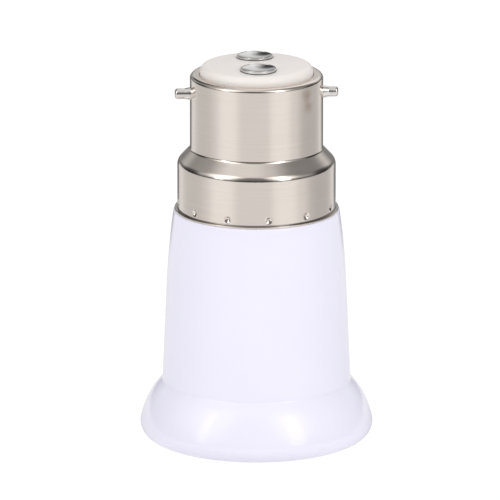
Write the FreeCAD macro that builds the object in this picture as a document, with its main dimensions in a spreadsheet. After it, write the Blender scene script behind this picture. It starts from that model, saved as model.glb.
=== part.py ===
# Lamp socket adapter: a bayonet cap on top, a screw lamp socket underneath.
# Millimetres. Origin at the middle of the bottom rim, +Z up, bayonet pins along X.

import FreeCAD, Part
import math
import os
import Sketcher
from FreeCAD import Placement, Rotation, Vector

doc = FreeCAD.newDocument("LampSocketAdapter")

# Sizes that can each be set by itself

DRIVING_SIZES = [
    # White housing
    ("foot_round", 2.4, "rounding of the mouth's outer bottom edge"),
    ("flare_turn", 11.7, "degrees above level where the foot rounding runs into the bowed flank"),
    ("flare_height", 9.7, "height of the crease where the flare meets the body"),
    ("rim_width", 3.5, "width of the rim, from its inner edge to the flare's widest ring"),
    ("foot_wall", 1.57, "wall outside the bore, measured to the crease"),
    ("bow_wall", 0.81, "wall outside the bore, measured to where the straight taper ends"),
    ("bow_height", 11.75, "height of the bowed stretch between the taper and the shelf"),
    ("shelf_border", 0.15, "width of shelf left bare outside the cap's lip"),
    ("body_edge_round", 0.3, "rounding of the body's top edge"),
    ("crease_round", 0.4, "small radius in the crease"),
    ("mouth_draft", 0.7, "by how much the mouth narrows from its rim to its shoulder"),
    ("mouth_depth", 6.3, "height of the shoulder inside the mouth"),
    ("mouth_edge_round", 0.3, "rounding of the rim's inner edge"),
    ("mouth_shoulder_round", 1.0, "rounding in the mouth's shoulder"),
    ("mouth_shoulder_flat", 0.05, "width of shoulder left flat inside that rounding"),
    ("bore_clearance", 0.13, "radial play between the screw shell's collar and the bore"),
    ("socket_depth", 29.5, "height of the wall between socket and wiring space"),
    ("partition_thickness", 2.5, "thickness of that wall"),
    ("shelf_rise", 6.75, "height of the shelf that the cap stands on above that wall"),
    ("neck_wall", 1.5, "wall of the neck that the cap is pressed over"),
    ("neck_top_gap", 1.45, "room between the neck's end and the cap's shoulder"),
    ("neck_clearance", 0.05, "radial play between neck and cap"),
    ("neck_lead", 0.8, "lead-in chamfer of the neck"),
    # Bayonet cap of thin sheet
    ("cap_sheet", 0.35, "thickness of the cap's sheet"),
    ("lip_width", 0.47, "width of the small out-turned lip"),
    ("lip_thickness", 0.35, "height of the lip"),
    ("lip_round", 0.12, "rounding of the lip's edge"),
    ("skirt_height", 8.3, "height from the shelf to where the shoulder's slope would meet the skirt"),
    ("shoulder_height", 2.25, "height of the shoulder's slope"),
    ("shoulder_width", 2.1, "width of the shoulder's slope"),
    ("shoulder_round", 1.7, "outside rounding at the foot of the shoulder"),
    ("shoulder_fillet", 0.7, "outside hollow at the top of the shoulder"),
    ("cap_radius", 11.0, "outside radius of the cap's cylinder"),
    ("cylinder_height", 12.4, "height of that cylinder, from the shoulder's slope to the rolled edge"),
    ("cap_edge_round", 0.95, "outside rounding of the rolled top edge"),
    ("roll_width", 1.55, "width of the rolled top edge"),
    ("dimple_count", 12, "number of punch marks that lock the cap on the neck"),
    ("dimple_first_angle", 275, "angle of the first punch mark from +X"),
    ("dimple_rise", 1.35, "height of the punch marks above the shelf"),
    ("dimple_width", 1.1, "width of a punch mark"),
    ("dimple_length", 1.2, "height of a punch mark"),
    ("dimple_depth", 0.3, "depth of a punch mark"),
    # Bayonet pins
    ("pin_radius", 0.88, "radius of a pin"),
    ("pin_reach", 2.5, "length of a pin outside the cylinder"),
    ("pin_tip_round", 0.45, "rounding of a pin's tip"),
    ("pin_collar_width", 0.2, "width of the tapered collar round a pin's root"),
    ("pin_collar_thickness", 0.9, "length of that collar"),
    ("tenon_radius", 0.7, "radius of a pin's tenon through the cap's wall"),
    ("pin_head_width", 0.7, "width of the tenon's peened head, inside the cap"),
    ("pin_head_thickness", 0.5, "thickness of that head"),
    ("pin_head_round", 0.15, "rounding of that head"),
    ("pin_head_gap", 0.15, "gap between that head and the insulator's collar"),
    ("pin_clearance", 0.03, "radial play of the tenon in its hole"),
    # Insulator and contacts in the cap's end
    ("plate_rise", 1.8, "height of the plate's middle above the rolled edge"),
    ("dome_radius", 140, "radius of the plate's slightly domed top"),
    ("plate_clearance", 0.1, "radial play of the plate in the rolled edge's hole"),
    ("plate_edge_round", 1.1, "rounding of the plate's top edge"),
    ("collar_thickness", 1.3, "thickness of the insulator's collar under the rolled edge"),
    ("boss_length", 4.7, "length of the insulator's boss below its collar"),
    ("boss_clearance", 0.4, "radial room between the boss and the pins' heads"),
    ("contact_gap", 2.9, "gap between the two contacts"),
    ("contact_border", 2.0, "width of plate outside each contact"),
    ("contact_rise", 0.3, "height of a contact's rim above the plate"),
    ("contact_sink", 0.45, "depth of the seat that a contact stands in"),
    ("contact_rim", 0.22, "thickness of a contact's rim"),
    ("contact_edge_round", 0.08, "rounding of that rim"),
    ("contact_floor", 0.2, "thickness of a contact's floor"),
    ("contact_dip", 0.42, "depth of the hollow in a contact's solder"),
    ("eyelet_radius", 1.3, "outside radius of a contact's tube"),
    ("eyelet_wall", 0.25, "wall of that tube"),
    ("eyelet_clearance", 0.05, "radial play of the tube in the insulator"),
    ("clinch_width", 0.6, "width of the tube's clinched end"),
    ("solder_depth", 2.6, "depth to which solder fills the tube below the plate's top"),
    # Screw shell for the lamp
    ("shell_sheet", 0.32, "thickness of the screw shell's sheet"),
    ("shell_inner_radius", 13.3, "inside radius of the screw shell's wall"),
    ("shell_collar_step", 0.3, "by how much the plain collar at its mouth is wider"),
    ("shell_mouth_gap", 2.3, "height of the screw shell's mouth above the housing's mouth shoulder"),
    ("shell_collar_length", 2.0, "length of the plain collar"),
    ("shell_bend", 0.5, "inside radius of the bend round its floor"),
    ("window_margin", 0.55, "width of the shell's floor inside its rivets' heads"),
    # Centre contact, a bent spring strip
    ("leaf_thickness", 0.3, "thickness of the spring strip"),
    ("leaf_width", 5.0, "width of the spring strip"),
    ("leaf_window_gap", 1.6, "gap between the strip's foot and the opening in the shell's floor"),
    ("leaf_edge", 0.35, "width of strip between its foot's end and the rivet's head"),
    ("leaf_root_gap", 0.45, "length of flat strip between the rivet's head and the first bend"),
    ("leaf_slope", 38.0, "degrees by which the tongue slopes towards the lamp"),
    ("leaf_tongue_length", 5.0, "length of the sloping tongue"),
    ("leaf_curl", 48.0, "degrees by which the tip curls back"),
    ("leaf_curl_length", 2.1, "length of the curled tip"),
    ("leaf_root_bend", 0.8, "inside radius of the bend at the foot"),
    ("leaf_tip_bend", 1.0, "inside radius of the bend at the tip"),
    ("leaf_corner_round", 1.0, "rounding of the strip's corners"),
    # Rivets, tags and leads in the wiring space
    ("rivet_radius", 0.8, "radius of a rivet's shank"),
    ("rivet_clearance", 0.05, "radial play of a rivet in its hole"),
    ("rivet_head_radius", 1.45, "radius of a rivet's heads"),
    ("rivet_head_height", 0.55, "height of a rivet's heads"),
    ("rivet_head_round", 0.35, "rounding of a rivet's heads"),
    ("tag_thickness", 0.4, "thickness of a solderless tag"),
    ("tag_border", 0.3, "width of a tag's ring outside the rivet's head"),
    ("tag_wall_gap", 0.05, "gap between a tag's ring and the wall of the wiring space"),
    ("tag_arm_width", 1.9, "width of a tag's arm"),
    ("shell_tag_reach", 3.4, "distance from the shell's rivet to the barrel of its tag"),
    ("barrel_radius", 0.95, "outside radius of a tag's barrel"),
    ("barrel_length", 3.4, "length of a tag's barrel"),
    ("core_radius", 0.4, "radius of a lead's copper core"),
    ("core_clearance", 0.03, "radial play around the core"),
    ("sleeve_radius", 0.9, "outside radius of a lead's sleeve"),
    ("sleeve_end_gap", 0.4, "bare stretch of core at each end of the sleeve"),
    ("lead_rise", 8.5, "height from a lead's lower bend to its upper one"),
    ("lead_bend_radius", 14.0, "radius of a lead's bends"),
]

# Sizes that follow from the others

WORKED_OUT_SIZES = [
    # Heights, from the rim upwards
    ("partition_low", "socket_depth"),
    ("partition_high", "partition_low + partition_thickness"),
    ("shelf_height", "partition_high + shelf_rise"),
    ("bow_start_height", "shelf_height - bow_height"),
    ("shoulder_low", "shelf_height + skirt_height"),
    ("shoulder_high", "shoulder_low + shoulder_height"),
    ("neck_top", "shoulder_low - neck_top_gap"),
    ("lip_top", "shelf_height + lip_thickness"),
    ("dimple_height", "shelf_height + dimple_rise"),
    ("cap_top", "shoulder_high + cylinder_height"),
    ("cap_top_inside", "cap_top - cap_sheet"),
    ("plate_top", "cap_top + plate_rise"),
    ("collar_low", "cap_top_inside - collar_thickness"),
    ("boss_low", "collar_low - boss_length"),
    ("shell_mouth", "mouth_depth + shell_mouth_gap"),
    # Radii, from the cap's cylinder outwards and from the screw shell outwards
    ("cap_inner_radius", "cap_radius - cap_sheet"),
    ("cap_hole_radius", "cap_radius - roll_width"),
    ("skirt_radius", "cap_radius + shoulder_width"),
    ("skirt_inner_radius", "skirt_radius - cap_sheet"),
    ("lip_radius", "skirt_radius + lip_width"),
    ("neck_radius", "skirt_inner_radius - neck_clearance"),
    ("chamber_radius", "neck_radius - neck_wall"),
    ("body_top_radius", "lip_radius + shelf_border"),
    ("shell_collar_radius", "shell_inner_radius + shell_collar_step"),
    ("shell_outer_radius", "shell_inner_radius + shell_sheet"),
    ("shell_collar_outer", "shell_collar_radius + shell_sheet"),
    ("bore_radius", "shell_collar_outer + bore_clearance"),
    ("bow_start_radius", "bore_radius + bow_wall"),
    ("body_foot_radius", "bore_radius + foot_wall"),
    ("mouth_end_radius", "bore_radius + mouth_shoulder_flat + mouth_shoulder_round"),
    ("mouth_radius", "mouth_end_radius + mouth_draft"),
    ("flare_radius", "mouth_radius + rim_width"),
    ("foot_flat_radius", "flare_radius - foot_round"),
    ("flare_turn_radius", "foot_flat_radius + foot_round * cos(flare_turn * 1deg)"),
    ("flare_turn_height", "foot_round + foot_round * sin(flare_turn * 1deg)"),
    # The cap's sheet, whose inner side keeps its distance from the outer one
    ("shoulder_angle", "atan(shoulder_width / shoulder_height) / 1deg"),
    ("shoulder_shift", "cap_sheet * tan(shoulder_angle * 1deg / 2)"),
    ("shoulder_low_inside", "shoulder_low - shoulder_shift"),
    ("shoulder_high_inside", "shoulder_high - shoulder_shift"),
    ("shoulder_round_inside", "shoulder_round - cap_sheet"),
    ("shoulder_fillet_inside", "shoulder_fillet + cap_sheet"),
    ("cap_edge_round_inside", "cap_edge_round - cap_sheet"),
    ("dimple_half_width", "dimple_width / 2"),
    ("dimple_half_length", "dimple_length / 2"),
    ("bump_half_width", "dimple_half_width + cap_sheet / 2"),
    ("bump_half_length", "dimple_half_length + cap_sheet / 2"),
    ("recess_depth", "dimple_depth + neck_clearance"),
    ("recess_half_width", "bump_half_width + neck_clearance"),
    ("recess_half_length", "bump_half_length + neck_clearance"),
    # Pins
    ("pin_head_radius", "tenon_radius + pin_head_width"),
    ("pin_collar_radius", "pin_radius + pin_collar_width"),
    ("pin_hole_radius", "tenon_radius + pin_clearance"),
    ("pin_height", "collar_low - pin_head_gap - pin_head_radius"),
    ("pin_tip", "cap_radius + pin_reach"),
    ("pin_collar_end", "cap_radius + pin_collar_thickness"),
    ("pin_head_top", "sqrt(cap_inner_radius * cap_inner_radius - pin_head_radius * pin_head_radius)"),
    ("pin_head_end", "pin_head_top - pin_head_thickness"),
    # Insulator and contacts
    ("plate_radius", "cap_hole_radius - plate_clearance"),
    ("dome_centre", "plate_top - dome_radius"),
    ("plate_turn_radius",
     "(plate_radius - plate_edge_round) * dome_radius / (dome_radius - plate_edge_round)"),
    ("plate_turn_height",
     "dome_centre + sqrt(dome_radius * dome_radius - plate_turn_radius * plate_turn_radius)"),
    ("plate_side_top",
     "dome_centre + (plate_turn_height - dome_centre) * (1 - plate_edge_round / dome_radius)"),
    ("collar_radius", "cap_inner_radius - plate_clearance"),
    ("boss_radius", "pin_head_end - boss_clearance"),
    ("contact_radius", "(plate_radius - contact_border - contact_gap / 2) / 2"),
    ("contact_offset", "contact_gap / 2 + contact_radius"),
    ("contact_seat", "plate_top - contact_sink"),
    ("contact_top", "plate_top + contact_rise"),
    ("contact_floor_top", "contact_seat + contact_floor"),
    ("contact_inner_radius", "contact_radius - contact_rim"),
    ("contact_seat_radius", "contact_radius + eyelet_clearance"),
    ("eyelet_hole_radius", "eyelet_radius + eyelet_clearance"),
    ("eyelet_bore_radius", "eyelet_radius - eyelet_wall"),
    ("clinch_radius", "eyelet_radius + clinch_width"),
    ("clinch_low", "boss_low - eyelet_wall"),
    ("solder_low", "plate_top - solder_depth"),
    ("solder_edge", "contact_top - contact_rim / 2"),
    ("solder_middle", "solder_edge - contact_dip"),
    # Screw shell; its rivets stand as far out as the wiring space and the shell's floor allow
    ("shell_floor_low", "partition_low - shell_sheet"),
    ("shell_collar_top", "shell_mouth + shell_collar_length"),
    ("shell_step_top", "shell_collar_top + shell_collar_step"),
    ("shell_bend_outside", "shell_bend + shell_sheet"),
    ("tag_ring_radius", "rivet_head_radius + tag_border"),
    ("rivet_limit_above", "chamber_radius - tag_wall_gap - tag_ring_radius"),
    ("rivet_limit_below", "shell_inner_radius - shell_bend - rivet_head_radius"),
    ("shell_rivet_offset", "min(rivet_limit_above; rivet_limit_below)"),
    ("shell_window_radius", "shell_rivet_offset - rivet_head_radius - window_margin"),
    ("rivet_hole_radius", "rivet_radius + rivet_clearance"),
    ("shell_head_low", "shell_floor_low - rivet_head_height"),
    # Centre contact
    ("leaf_foot_reach", "shell_window_radius - leaf_window_gap"),
    ("leaf_hole_place", "leaf_edge + rivet_head_radius"),
    ("rivet_offset", "leaf_foot_reach - leaf_hole_place"),
    ("leaf_foot_length", "leaf_hole_place + rivet_head_radius + leaf_root_gap"),
    ("leaf_low", "partition_low - leaf_thickness"),
    ("leaf_head_low", "leaf_low - rivet_head_height"),
    ("leaf_half_width", "leaf_width / 2"),
    ("leaf_root_shift", "leaf_thickness * tan(leaf_slope * 1deg / 2)"),
    ("leaf_root_inside", "leaf_foot_length - leaf_root_shift"),
    ("leaf_root_bend_outside", "leaf_root_bend + leaf_thickness"),
    ("leaf_apex", "leaf_foot_length + leaf_tongue_length * cos(leaf_slope * 1deg)"),
    ("leaf_apex_height", "partition_low - leaf_tongue_length * sin(leaf_slope * 1deg)"),
    ("leaf_apex_share", "leaf_thickness / (1 + cos((leaf_slope + leaf_curl) * 1deg))"),
    ("leaf_apex_outside", "leaf_apex + leaf_apex_share * (sin(leaf_curl * 1deg) - sin(leaf_slope * 1deg))"),
    ("leaf_apex_low",
     "leaf_apex_height - leaf_apex_share * (cos(leaf_slope * 1deg) + cos(leaf_curl * 1deg))"),
    ("leaf_tip_bend_outside", "leaf_tip_bend + leaf_thickness"),
    ("leaf_tip", "leaf_apex + leaf_curl_length * cos(leaf_curl * 1deg)"),
    ("leaf_tip_height", "leaf_apex_height + leaf_curl_length * sin(leaf_curl * 1deg)"),
    ("leaf_tip_outside", "leaf_tip + leaf_thickness * sin(leaf_curl * 1deg)"),
    ("leaf_tip_low", "leaf_tip_height - leaf_thickness * cos(leaf_curl * 1deg)"),
    # Tags and leads; each lead's two bends stand midway between its barrel and its contact
    ("tag_top", "partition_high + tag_thickness"),
    ("tagged_head_top", "tag_top + rivet_head_height"),
    ("bare_head_top", "partition_high + rivet_head_height"),
    ("barrel_top", "partition_high + barrel_length"),
    ("core_hole_radius", "core_radius + core_clearance"),
    ("sleeve_low", "barrel_top + sleeve_end_gap"),
    ("sleeve_high", "clinch_low - sleeve_end_gap"),
    ("lead_bend_low", "(barrel_top + clinch_low - lead_rise) / 2"),
    ("lead_bend_high", "lead_bend_low + lead_rise"),
    ("shell_barrel_place", "shell_rivet_offset - shell_tag_reach"),
    ("shell_lead_shift", "shell_barrel_place - contact_offset"),
]

sizes = doc.addObject("Spreadsheet::Sheet", "Sizes")
for row, (alias, number, meaning) in enumerate(DRIVING_SIZES, start=1):
    sizes.set(f"A{row}", meaning)
    sizes.set(f"B{row}", str(number))
    sizes.setAlias(f"B{row}", alias)
for row, (alias, formula) in enumerate(WORKED_OUT_SIZES, start=1):
    sizes.set(f"D{row}", alias.replace("_", " "))
    sizes.set(f"E{row}", "=" + formula)
    sizes.setAlias(f"E{row}", alias)
doc.recompute()


def size(alias):
    """The number in the sheet's cell of that name."""
    return float(sizes.get(alias))


def bind(thing, prop, alias):
    """Tie a property to a cell of the sheet."""
    thing.setExpression(prop, f"Sizes.{alias}")


# Ways of drawing, shared by all the pieces

SIDE_PLANE = "XZ_Plane"
END_PLANE = "YZ_Plane"
FLOOR_PLANE = "XY_Plane"


def new_body(label):
    body = doc.addObject("PartDesign::Body", label)
    body.Label = label
    return body


def new_sketch(body, name, plane, lift=None):
    """A sketch on one of the body's own origin planes, raised off it by the size named lift."""
    sketch = body.newObject("Sketcher::SketchObject", name)
    support = [f for f in body.Origin.OriginFeatures if f.Role == plane][0]
    sketch.AttachmentSupport = [(support, "")]
    sketch.MapMode = "FlatFace"
    if lift:
        bind(sketch, "AttachmentOffset.Base.z", lift)
    return sketch


def dimension(sketch, kind, alias, *targets):
    """A driving dimension whose value is the cell named alias."""
    index = sketch.addConstraint(Sketcher.Constraint(kind, *targets, size(alias)))
    sketch.setExpression(f"Constraints[{index}]", f"Sizes.{alias}")


def hold_point(sketch, geometry, end, across, up):
    """Fix a point at two named sizes from the sketch's origin, where None means on the axis."""
    for kind, alias, axis in (("DistanceX", across, -2), ("DistanceY", up, -1)):
        if alias is None:
            sketch.addConstraint(Sketcher.Constraint("PointOnObject", geometry, end, axis))
        else:
            dimension(sketch, kind, alias, -1, 1, geometry, end)


def arc_geometry(centre, start, end, left_turn):
    """An arc from start to end, with the numbers of its ends, because arcs always run leftwards."""
    first, last = (start, end) if left_turn else (end, start)
    angles = [math.atan2(p.y - centre.y, p.x - centre.x) for p in (first, last)]
    circle = Part.Circle(centre, Vector(0, 0, 1), (start - centre).Length)
    ends = (1, 2) if left_turn else (2, 1)
    return Part.ArcOfCircle(circle, *angles), ends


def turns_left(before, after):
    return before.x * after.y - before.y * after.x > 0


def draw_path(sketch, corners, closed=True):
    """Draw an outline through its corners.

    A corner is (across, up, style): two names of sizes, and how the outline behaves there. The style
    is None for a sharp corner, the name of a radius for a rounded one, "bow" where the side that
    leaves is an arc tangent to the side that arrives, and "square bow" where it leaves square to it.
    """
    count = len(corners)
    points = [Vector(size(a) if a else 0, size(u) if u else 0, 0) for a, u, style in corners]
    styles = [style for a, u, style in corners]
    rounded = [style not in (None, "bow", "square bow") for style in styles]
    side_count = count if closed else count - 1

    # Each rounded corner takes a length off the ends of its two sides
    leave, arrive, corner_arcs = list(points), list(points), {}
    for i in range(count):
        if rounded[i]:
            back = (points[i - 1] - points[i]).normalize()
            ahead = (points[(i + 1) % count] - points[i]).normalize()
            radius = size(styles[i])
            half = back.getAngle(ahead) / 2
            centre = points[i] + (back + ahead).normalize() * (radius / math.sin(half))
            arrive[i] = points[i] + back * (radius / math.tan(half))
            leave[i] = points[i] + ahead * (radius / math.tan(half))
            corner_arcs[i] = (centre, turns_left(-back, ahead))

    # The sides, straight or bowed
    sides, direction = [], None
    for i in range(side_count):
        j = (i + 1) % count
        if styles[i] in ("bow", "square bow"):
            if styles[i] == "square bow":
                direction = Vector(-direction.y, direction.x, 0)
                if direction * (points[j] - points[i]) < 0:
                    direction = -direction
            normal = Vector(-direction.y, direction.x, 0)
            chord = points[j] - points[i]
            reach = chord * chord / (2 * (normal * chord))
            centre = points[i] + normal * reach
            arc, ends = arc_geometry(centre, points[i], points[j], reach > 0)
            sides.append((sketch.addGeometry(arc), *ends))
            spoke = points[j] - centre
            direction = Vector(-spoke.y, spoke.x, 0) * (1 if reach > 0 else -1)
            direction.normalize()
        else:
            line = Part.LineSegment(leave[i], arrive[j])
            sides.append((sketch.addGeometry(line), 1, 2))
            direction = (arrive[j] - leave[i]).normalize()

    # The corners, and what ties the sides there
    for i in range(count):
        has_before, has_after = closed or i > 0, closed or i < count - 1
        before = sides[i - 1] if has_before else None
        after = sides[i] if has_after else None
        across, up, style = corners[i]
        if rounded[i]:
            centre, left = corner_arcs[i]
            arc, (start, end) = arc_geometry(centre, arrive[i], leave[i], left)
            arc = sketch.addGeometry(arc)
            mark = sketch.addGeometry(Part.Point(points[i]), True)
            hold_point(sketch, mark, 1, across, up)
            sketch.addConstraint([
                Sketcher.Constraint("PointOnObject", mark, 1, before[0]),
                Sketcher.Constraint("PointOnObject", mark, 1, after[0]),
                Sketcher.Constraint("Tangent", before[0], before[2], arc, start),
                Sketcher.Constraint("Tangent", arc, end, after[0], after[1]),
            ])
            dimension(sketch, "Radius", style, arc)
            continue
        hold_point(sketch, *((after[0], after[1]) if has_after else (before[0], before[2])), across, up)
        if has_before and has_after:
            meeting = {"bow": "Tangent", "square bow": "Perpendicular"}.get(style, "Coincident")
            sketch.addConstraint(Sketcher.Constraint(meeting, before[0], before[2], after[0], after[1]))


def draw_circle(sketch, radius, across=None, up=None):
    centre = Vector(size(across) if across else 0, size(up) if up else 0, 0)
    circle = sketch.addGeometry(Part.Circle(centre, Vector(0, 0, 1), size(radius)))
    hold_point(sketch, circle, 3, across, up)
    dimension(sketch, "Radius", radius, circle)


def revolve(body, name, corners):
    """Turn a closed outline in the body's side plane about its vertical axis."""
    outline = new_sketch(body, name + "Outline", SIDE_PLANE)
    draw_path(outline, corners)
    feature = body.newObject("PartDesign::Revolution", name)
    feature.Profile = outline
    feature.ReferenceAxis = (outline, ["V_Axis"])
    feature.Angle = 360
    doc.recompute()
    return feature


def drill(body, name, radius, across=None, up=None, lift=None, plane=FLOOR_PLANE, depth=None):
    """A round hole square to a plane, right through or to a named depth."""
    outline = new_sketch(body, name + "Circle", plane, lift)
    draw_circle(outline, radius, across, up)
    feature = body.newObject("PartDesign::Pocket", name)
    feature.Profile = outline
    if depth:
        feature.Type = "Length"
        bind(feature, "Length", depth)
    elif plane == END_PLANE:
        feature.Type = "ThroughAll"
        feature.Midplane = True
    else:
        feature.Type = "ThroughAll"
    doc.recompute()
    return feature


def pad(body, name, outline, thickness):
    feature = body.newObject("PartDesign::Pad", name)
    feature.Profile = outline
    bind(feature, "Length", thickness)
    doc.recompute()
    return feature


def repeat_round(body, name, features, count):
    """Repeat features evenly about the body's vertical axis."""
    pattern = body.newObject("PartDesign::PolarPattern", name)
    pattern.Originals = features
    axis = [f for f in body.Origin.OriginFeatures if f.Role == "Z_Axis"][0]
    pattern.Axis = (axis, [""])
    pattern.Angle = 360
    if isinstance(count, str):
        bind(pattern, "Occurrences", count)
    else:
        pattern.Occurrences = count
    body.Tip = pattern
    doc.recompute()
    return pattern


def dress_edges(body, kind, name, alias, wanted):
    """Round or chamfer the edges of the body's last feature that the test called wanted picks out."""
    base = body.Tip
    names = [f"Edge{i}" for i, edge in enumerate(base.Shape.Edges, start=1) if wanted(edge)]
    feature = body.newObject(f"PartDesign::{kind}", name)
    feature.Base = (base, names)
    bind(feature, {"Fillet": "Radius", "Chamfer": "Size"}[kind], alias)
    doc.recompute()
    return feature


def ring_edge(radius, height=None):
    """A test that picks the full circle of one radius about the axis at one height."""
    def wanted(edge):
        curve = edge.Curve
        return (isinstance(curve, Part.Circle) and abs(curve.Radius - size(radius)) < 0.001
                and abs(curve.Center.z - (size(height) if height else 0)) < 0.001)
    return wanted


def place(body, across=None, along=None, turn=0, in_front=False):
    """Put a body at named distances along X and Y (or -Y), turned about its vertical axis."""
    body.Placement = Placement(Vector(0, 0, 0), Rotation(Vector(0, 0, 1), turn))
    if across:
        bind(body, "Placement.Base.x", across)
    if along:
        body.setExpression("Placement.Base.y", ("-" if in_front else "") + f"Sizes.{along}")


def punch_marks(body, name, kind, depth, half_width, half_length, surface):
    """One ellipsoid of a ring of punch marks, centred on the surface whose radius is named."""
    mark = body.newObject(f"PartDesign::{kind}Ellipsoid", name)
    bind(mark, "Radius1", half_length)
    bind(mark, "Radius2", depth)
    bind(mark, "Radius3", half_width)
    mark.Angle1, mark.Angle2, mark.Angle3 = -90, 90, 360
    angle = "(Sizes.dimple_first_angle * 1deg)"
    mark.setExpression("Placement.Base.x", f"Sizes.{surface} * cos({angle})")
    mark.setExpression("Placement.Base.y", f"Sizes.{surface} * sin({angle})")
    bind(mark, "Placement.Base.z", "dimple_height")
    bind(mark, "Placement.Rotation.Angle", "dimple_first_angle")
    return mark


# Housing: one white moulding with the flared mouth, the socket's bore, the partition that the
# contacts are riveted to, and the neck that the cap is pressed over

def make_housing():
    body = new_body("housing")
    revolve(body, "HousingWall", [
        ("mouth_radius", None, None),
        ("foot_flat_radius", None, "bow"),
        ("flare_turn_radius", "flare_turn_height", "bow"),
        ("body_foot_radius", "flare_height", None),
        ("bow_start_radius", "bow_start_height", "bow"),
        ("body_top_radius", "shelf_height", None),
        ("neck_radius", "shelf_height", None),
        ("neck_radius", "neck_top", None),
        ("chamber_radius", "neck_top", None),
        ("chamber_radius", "partition_high", None),
        (None, "partition_high", None),
        (None, "partition_low", None),
        ("bore_radius", "partition_low", None),
        ("bore_radius", "mouth_depth", None),
        ("mouth_end_radius", "mouth_depth", "mouth_shoulder_round"),
    ])
    dress_edges(body, "Fillet", "RimInnerEdge", "mouth_edge_round", ring_edge("mouth_radius"))
    dress_edges(body, "Fillet", "Crease", "crease_round", ring_edge("body_foot_radius", "flare_height"))
    dress_edges(body, "Fillet", "BodyTopEdge", "body_edge_round",
                ring_edge("body_top_radius", "shelf_height"))
    dress_edges(body, "Chamfer", "NeckLeadIn", "neck_lead", ring_edge("neck_radius", "neck_top"))
    drill(body, "CentreRivetHole", "rivet_hole_radius", "rivet_offset", None, "partition_high")
    hole = drill(body, "ShellRivetHole", "rivet_hole_radius", None, "shell_rivet_offset", "partition_high")
    repeat_round(body, "ShellRivetHoles", [hole], 2)
    recess = punch_marks(body, "NeckRecess", "Subtractive", "recess_depth",
                         "recess_half_width", "recess_half_length", "neck_radius")
    doc.recompute()
    repeat_round(body, "NeckRecesses", [recess], "dimple_count")
    return body


# Screw shell: thin sheet drawn to a cup that takes the lamp's cap, with a window in its floor for the
# centre contact, and two rivet holes. Its wall stands at the radius of the thread's roots.

def make_screw_shell():
    body = new_body("screw_shell")
    revolve(body, "ShellWall", [
        ("shell_collar_radius", "shell_mouth", None),
        ("shell_collar_outer", "shell_mouth", None),
        ("shell_collar_outer", "shell_collar_top", None),
        ("shell_outer_radius", "shell_step_top", None),
        ("shell_outer_radius", "partition_low", "shell_bend_outside"),
        ("shell_window_radius", "partition_low", None),
        ("shell_window_radius", "shell_floor_low", None),
        ("shell_inner_radius", "shell_floor_low", "shell_bend"),
        ("shell_inner_radius", "shell_step_top", None),
        ("shell_collar_radius", "shell_collar_top", None),
    ])
    hole = drill(body, "ShellHole", "rivet_hole_radius", None, "shell_rivet_offset", "partition_low")
    repeat_round(body, "ShellHoles", [hole], 2)
    return body


# Centre contact: a spring strip whose foot is riveted under the partition and whose tongue slopes
# down to meet the lamp's contact, with its tip curled back. It is drawn from its foot's end.

def make_centre_contact():
    body = new_body("centre_contact")
    outline = new_sketch(body, "StripSide", SIDE_PLANE)
    draw_path(outline, [
        (None, "partition_low", None),
        (None, "leaf_low", None),
        ("leaf_root_inside", "leaf_low", "leaf_root_bend"),
        ("leaf_apex_outside", "leaf_apex_low", "leaf_tip_bend_outside"),
        ("leaf_tip_outside", "leaf_tip_low", None),
        ("leaf_tip", "leaf_tip_height", None),
        ("leaf_apex", "leaf_apex_height", "leaf_tip_bend"),
        ("leaf_foot_length", "partition_low", "leaf_root_bend_outside"),
    ])
    strip = pad(body, "Strip", outline, "leaf_width")
    strip.Midplane = True
    doc.recompute()
    half = size("leaf_half_width")

    def strip_corner(edge):
        low, high = edge.BoundBox.XMin, edge.BoundBox.XMax
        at_end = high < 0.01 or low > size("leaf_tip") - 0.01
        level = edge.BoundBox.YLength < 0.01 and abs(abs(edge.BoundBox.YMax) - half) < 0.01
        return at_end and level

    dress_edges(body, "Fillet", "StripCorners", "leaf_corner_round", strip_corner)
    drill(body, "StripHole", "rivet_hole_radius", "leaf_hole_place", None, "partition_high")
    place(body, across="leaf_foot_reach", turn=180)
    return body


# Rivets: a formed head on the lamp side and a clinched one on the wiring side

def make_rivet(label, head_low, grip_low, grip_high, head_top, **where):
    body = new_body(label)
    revolve(body, "Rivet", [
        (None, head_low, None),
        ("rivet_head_radius", head_low, "rivet_head_round"),
        ("rivet_head_radius", grip_low, None),
        ("rivet_radius", grip_low, None),
        ("rivet_radius", grip_high, None),
        ("rivet_head_radius", grip_high, None),
        ("rivet_head_radius", head_top, "rivet_head_round"),
        (None, head_top, None),
    ])
    place(body, **where)
    return body


# Wire tags: a ring under the rivet's clinched head, an arm, and a barrel crimped on the lead

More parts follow.
